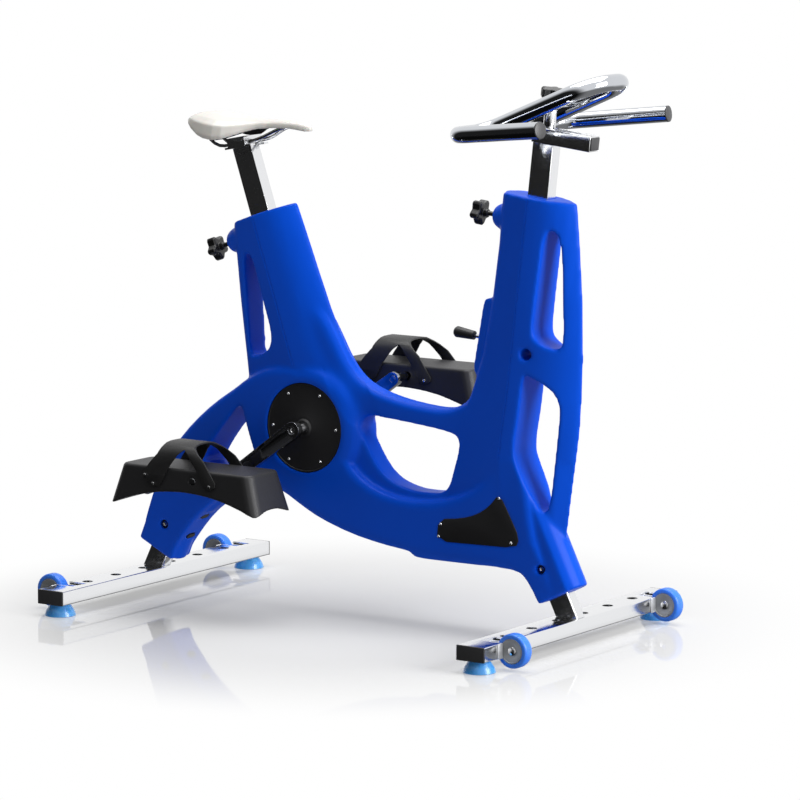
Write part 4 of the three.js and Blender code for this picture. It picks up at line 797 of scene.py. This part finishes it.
# Posts and their clamp knobs
# Rectangular stainless posts that slide in the columns, with pegs inside. A star knob of black
# phenolic plastic on a steel screw clamps each through the back of its column.
post_edge = 0.5 * MM
knob_voxel, knob_passes = 0.9 * MM, 3
PHENOLIC = "#161617"
phenolic_grain = 2 * MM, 0.02 * MM, 0.42, 0.28
# Phenolic resin, pressed hot: hard and black, with a soft sheen on the lobes
phenolic, tree, shader, place = new_finish(
    "moulded black phenolic", **{"Base Color": linear(PHENOLIC), "IOR": 1.6}
)
grain(tree, shader, place, *phenolic_grain)
for name, body in {"seat_post": "seat_mast", "handlebar_post": "handlebar_mast"}.items():
    post = soften_edges(merged(name), post_edge)
    piece(f"{name}_tube", post, polished, body, "steel", name)
for name, body in {"seat_post_knob": "seat_knob", "handlebar_post_knob": "mast_knob"}.items():
    remoulded(f"{name}_star", 0, knob_voxel, knob_passes, phenolic, body, "black", name)

# Saddle clamp and rails
# A polished steel clamp that tilts in a cradle on the post and grips two wires of bent steel, which
# run from the back of the saddle to its nose.
clamp_edge, wire_edge = 1 * MM, 0.2 * MM
BENT = math.radians(60)
clamp = soften_edges(merged("saddle_clamp"), clamp_edge, 3)
piece("rail_clamp", clamp, polished, "seat_clamp", "steel", "saddle_clamp")
wires = soften_edges(merged("saddle_rails"), wire_edge, 1, angle=BENT)
piece("rail_wires", wires, polished, "saddle", "steel", "saddle_rails", angle=BENT)

# Saddle
# A racing saddle: a soft polyurethane pad under a white skin, moulded over a black plastic base.
# The skin is glossy, wraps round the edge and is drawn tight to the nose.
SKIN = "#DAD7D1"
saddle_voxel, saddle_passes = 2.2 * MM, 7
base_edge, skin_glow = 0.5 * MM, 3 * MM
skin_grain = 1.2 * MM, 0.02 * MM, 0.42, 0.3
# Moulded polyurethane skin: smooth, warm white, with a leather grain too fine to see, drawn coarser
saddle_skin, tree, shader, place = new_finish("white polyurethane skin", **{
    "Base Color": linear(SKIN), "IOR": 1.5, "Coat Weight": 0.25, "Coat Roughness": 0.2,
    "Subsurface Weight": 0.08, "Subsurface Scale": skin_glow,
})
grain(tree, shader, place, *skin_grain)
base = soften_edges(merged("saddle_base"), base_edge, 1, angle=BENT)
piece("saddle_shell", base, moulded, "saddle", "black", "saddle_base")
cushion = remoulded(
    "saddle_pad", 0, saddle_voxel, saddle_passes, saddle_skin, "saddle", "saddle", "saddle_cover"
)

# Stem and its sliding column
# A square steel tube across the top of the front post, with a slot on top. A round column slides
# along it and carries the handlebar, which a star knob locks.
stem_edge, stem_run = 1.5 * MM, 30 * MM
stem = soften_edges(merged("stem_tube"), stem_edge, 3, shortest=stem_run)
piece("stem_box", stem, polished, "handlebar_mast", "steel", "stem_tube")
plug = soften_edges(merged("stem_plug"), cap_edge, 3)
piece("stem_end_plug", plug, plug_plastic, "handlebar_mast", "black", "stem_plug")
column = soften_edges(merged("clamp_column"), post_edge)
piece("sliding_column", column, polished, "carriage", "steel", "clamp_column")
remoulded(
    "carriage_star", 0, knob_voxel, knob_passes, phenolic, "carriage_lock", "black", "carriage_knob"
)

# Handlebar
# One tube of chrome-plated steel bent into two hand grips, two elbows and a raised loop between
# them, welded to a small bridge plate over the column. Black plugs close the grips.
CHROME = "#D2D5DA"
bar_radius, bar_steps = 16.5 * MM, 40
bar_spacing = 1025 * MM
grip_spread = 236.7 * MM
bend_radius, inner_bend, apex_radius = 55 * MM, 42 * MM, 62 * MM
bend_steps = 24
front_place, front_lean = post_sockets["front"][:2]
# Corners of one half, forward and up as shares of the bars' spacing, across as one of the grips'
handlebar_shares = [
    (0.1237, 1, 0.1647), (-0.0971, 0.845, 0.1167), (-0.0912, 0.3464, 0.1164), (0.1295, 0.3084, 0.2406),
]
bridge_low, bridge_high = (-13.5 * MM, -66 * MM, 178 * MM), (16.5 * MM, 66 * MM, 186 * MM)
bridge_edge = 1.5 * MM
plate_grain = 20 * MM, 0.004 * MM, 0.09, 0.05
# Chrome plate on a polished tube: a bright and even mirror
chrome, tree, shader, place = new_finish(
    "bright chrome plate", **{"Base Color": linear(CHROME), "Metallic": 1}
)
grain(tree, shader, place, *plate_grain)


def bent_line(corners, radii):
    """Points along straight runs that are joined by round bends."""
    line = [corners[0]]
    for before, corner, after, radius in zip(corners, corners[1:-1], corners[2:], radii):
        back, ahead = (before - corner).normalized(), (after - corner).normalized()
        half = back.angle(ahead) / 2
        reach = radius / math.tan(half)
        centre = corner + (back + ahead).normalized() * radius / math.sin(half)
        start, stop = corner + back * reach, corner + ahead * reach
        for i in range(bend_steps + 1):
            first, last = (start - centre).normalized(), (stop - centre).normalized()
            line.append(centre + first.slerp(last, i / bend_steps) * radius)
    line.append(corners[-1])
    return line


def swept(line, radius, steps=32):
    """A round rod along a line, with flat ends: each ring is set square to the line."""
    rod = bmesh.new()
    heading = (line[1] - line[0]).normalized()
    turned = heading.to_track_quat("Z", "Y").to_matrix().to_4x4()
    ring = bmesh.ops.create_circle(rod, cap_ends=True, segments=steps, radius=radius)["verts"]
    bmesh.ops.transform(rod, matrix=Matrix.Translation(line[0]) @ turned, verts=ring)
    edges = list(rod.edges)
    for i in range(1, len(line)):
        after = line[min(i + 1, len(line) - 1)] - line[i - 1]
        if i == len(line) - 1:
            after = line[i] - line[i - 1]
        new = bmesh.ops.extrude_edge_only(rod, edges=edges)["geom"]
        verts = [v for v in new if isinstance(v, bmesh.types.BMVert)]
        edges = [e for e in new if isinstance(e, bmesh.types.BMEdge)]
        swing = heading.rotation_difference(after.normalized()).to_matrix().to_4x4()
        step = Matrix.Translation(line[i]) @ swing @ Matrix.Translation(-line[i - 1])
        bmesh.ops.transform(rod, matrix=step, verts=verts)
        heading = after.normalized()
    bmesh.ops.edgeloop_fill(rod, edges=edges)
    bmesh.ops.recalc_face_normals(rod, faces=rod.faces)
    return rod


half_corners = [
    Vector((along * bar_spacing, across * grip_spread, up * bar_spacing))
    for along, across, up in handlebar_shares
]
corners = half_corners + [Vector((v.x, -v.y, v.z)) for v in reversed(half_corners)]
half_radii = [bend_radius, inner_bend, apex_radius]
bar_line = bent_line(corners, half_radii + half_radii[::-1])
front_frame = shift(*(bike_origin + front_place)) @ turn(front_lean, "Y")
hand_bar = swept(bar_line, bar_radius, bar_steps)
box_form(bridge_low, bridge_high, bridge_edge, 3, form=hand_bar)
moved(hand_bar, front_frame)
piece("handlebar_loop", hand_bar, chrome, "carriage", "steel", "handlebar")
for word in SIDES:
    plug = soften_edges(merged(f"grip_plug_{word}"), cap_edge, 2, angle=BENT)
    piece(f"grip_end_{word}", plug, plug_plastic, "carriage", "black", f"grip_plug_{word}")

# Floor
# A plain white glossy floor and a white background, as in a product photograph. The floor keeps
# the bike's soft shadow and a faint mirror image of its feet.
FLOOR_GREY = "#D6D6D6"
WHITE = "#FFFFFF"
# In metres round the bike's middle: the floor ends, and fades from its own look to plain white
floor_radius, fade_from, fade_to = 2.2, 0.42, 1.0
shine, shine_blur = 0.3, 0.04
ground = bmesh.new()
bmesh.ops.create_circle(ground, cap_ends=True, segments=96, radius=floor_radius)
floor_mesh = bpy.data.meshes.new("floor")
ground.to_mesh(floor_mesh)
ground.free()
floor = bpy.data.objects.new("floor", floor_mesh)
bpy.context.scene.collection.objects.link(floor)
floor.visible_glossy = False
floor.visible_diffuse = False
paint = bpy.data.materials.new("white studio floor")
paint.use_nodes = True
tree = paint.node_tree
tree.nodes.clear()
matt = add_node(tree, "BsdfDiffuse", {"Color": linear(FLOOR_GREY)})
mirror = add_node(tree, "BsdfGlossy", {"Color": linear(WHITE), "Roughness": shine_blur})
lacquer = add_node(tree, "MixShader", {0: shine, 1: matt.outputs[0], 2: mirror.outputs[0]})
white = add_node(tree, "Emission", {"Color": linear(WHITE), "Strength": 1})
seen = add_node(tree, "TexCoord").outputs["Object"]
radius = add_node(tree, "VectorMath", {0: seen}, operation="LENGTH")
fade = add_node(tree, "MapRange", {
    "Value": radius.outputs["Value"], "From Min": fade_from, "From Max": fade_to,
}, interpolation_type="SMOOTHSTEP")
rays = add_node(tree, "LightPath").outputs
sight = add_node(
    tree, "Math", {0: rays["Is Camera Ray"], 1: rays["Is Glossy Ray"]}, operation="MAXIMUM"
)
sight = add_node(
    tree, "Math", {0: sight.outputs[0], 1: rays["Is Transmission Ray"]}, operation="MAXIMUM"
)
share = add_node(tree, "Math", {0: sight.outputs[0], 1: fade.outputs[0]}, operation="MULTIPLY")
blend = add_node(tree, "MixShader", {0: share.outputs[0], 1: lacquer.outputs[0], 2: white.outputs[0]})
add_node(tree, "OutputMaterial", {"Surface": blend.outputs[0]})
floor_mesh.materials.append(paint)

# Studio light
# A large soft box overhead and one at the front of the bike, in a pale room. Mirrors see a dark
# screen at the rear right and a dim room low down, which gives the steel its contrast.
# Each lamp: place, what it faces, size in metres and power in watts
lamps = [
    ("top box", (0.3, 0.3, 3.6), (0, 0, 0.4), 3.0, 118),
    ("front box", (4.2, 0.3, 1.8), (0.2, 0, 0.6), 2.4, 190),
]
for name, place, target, size, power in lamps:
    light = bpy.data.lights.new(name, "AREA")
    light.size = size
    light.energy = power
    lamp = bpy.data.objects.new(name, light)
    lamp.location = place
    lamp.rotation_euler = (Vector(target) - Vector(place)).to_track_quat("-Z", "Y").to_euler()
    bpy.context.scene.collection.objects.link(lamp)
room = bpy.data.worlds.new("studio")
room.use_nodes = True
bpy.context.scene.world = room
tree = room.node_tree
tree.nodes.clear()
way = add_node(tree, "TexCoord").outputs["Generated"]
screen_way = Vector((-0.5, -0.75, -0.45)).normalized()
# Strength of the light by the cosine to the screen's middle, for mirrors
screen_edge, screen_full, screen_pale, screen_dark = 0.1, 0.62, 0.95, 0.015
# Strength of the room by the height of the direction: for surfaces, and a share for mirrors
room_low, room_high, room_below, room_above = -0.3, 0.4, 0.5, 0.14
pit_low, pit_high, pit_share = -0.5, -0.22, 0.25
backdrop = 1.0
facing = add_node(tree, "VectorMath", {0: way, 1: screen_way}, operation="DOT_PRODUCT")
dark = add_node(tree, "MapRange", {
    "Value": facing.outputs["Value"], "From Min": screen_edge, "From Max": screen_full,
    "To Min": screen_pale, "To Max": screen_dark,
}, interpolation_type="SMOOTHSTEP")
rays = add_node(tree, "LightPath").outputs
height = add_node(tree, "SeparateXYZ", {0: way}).outputs["Z"]
room_light = add_node(tree, "MapRange", {
    "Value": height, "From Min": room_low, "From Max": room_high,
    "To Min": room_below, "To Max": room_above,
}, interpolation_type="SMOOTHSTEP")
pit = add_node(tree, "MapRange", {
    "Value": height, "From Min": pit_low, "From Max": pit_high, "To Min": pit_share, "To Max": 1,
}, interpolation_type="SMOOTHSTEP")
mirrored = add_node(tree, "Math", {0: dark.outputs[0], 1: pit.outputs[0]}, operation="MULTIPLY")
soft = add_node(tree, "Mix", {
    "Factor": rays["Is Glossy Ray"], "A": room_light.outputs[0], "B": mirrored.outputs[0],
}, data_type="FLOAT")
seen = add_node(tree, "Mix", {
    "Factor": rays["Is Camera Ray"], "A": soft.outputs["Result"], "B": backdrop,
}, data_type="FLOAT")
sky = add_node(tree, "Background", {"Color": linear(WHITE), "Strength": seen.outputs["Result"]})
add_node(tree, "OutputWorld", {"Surface": sky.outputs[0]})

# Camera
# It stands at the front right of the bike, a little above the handlebar, with a long lens, so that
# the bike is seen as in the product photograph.
camera_place = Vector((5680.5 * MM, -7451.5 * MM, 1738.8 * MM))
camera_azimuth, camera_elevation = 34.192, 8.267
focal_share, film_width, far_clip = 4516.5 / 800, 36, 100
view = bpy.data.cameras.new("camera")
view.sensor_width = film_width
view.sensor_fit = "HORIZONTAL"
view.lens = focal_share * view.sensor_width
view.clip_end = far_clip
camera = bpy.data.objects.new("camera", view)
camera.location = bike_origin + camera_place
camera.rotation_euler = (math.radians(90 - camera_elevation), 0, math.radians(camera_azimuth))
bpy.context.scene.collection.objects.link(camera)
bpy.context.scene.camera = camera
bpy.context.scene.view_settings.view_transform = "Standard"
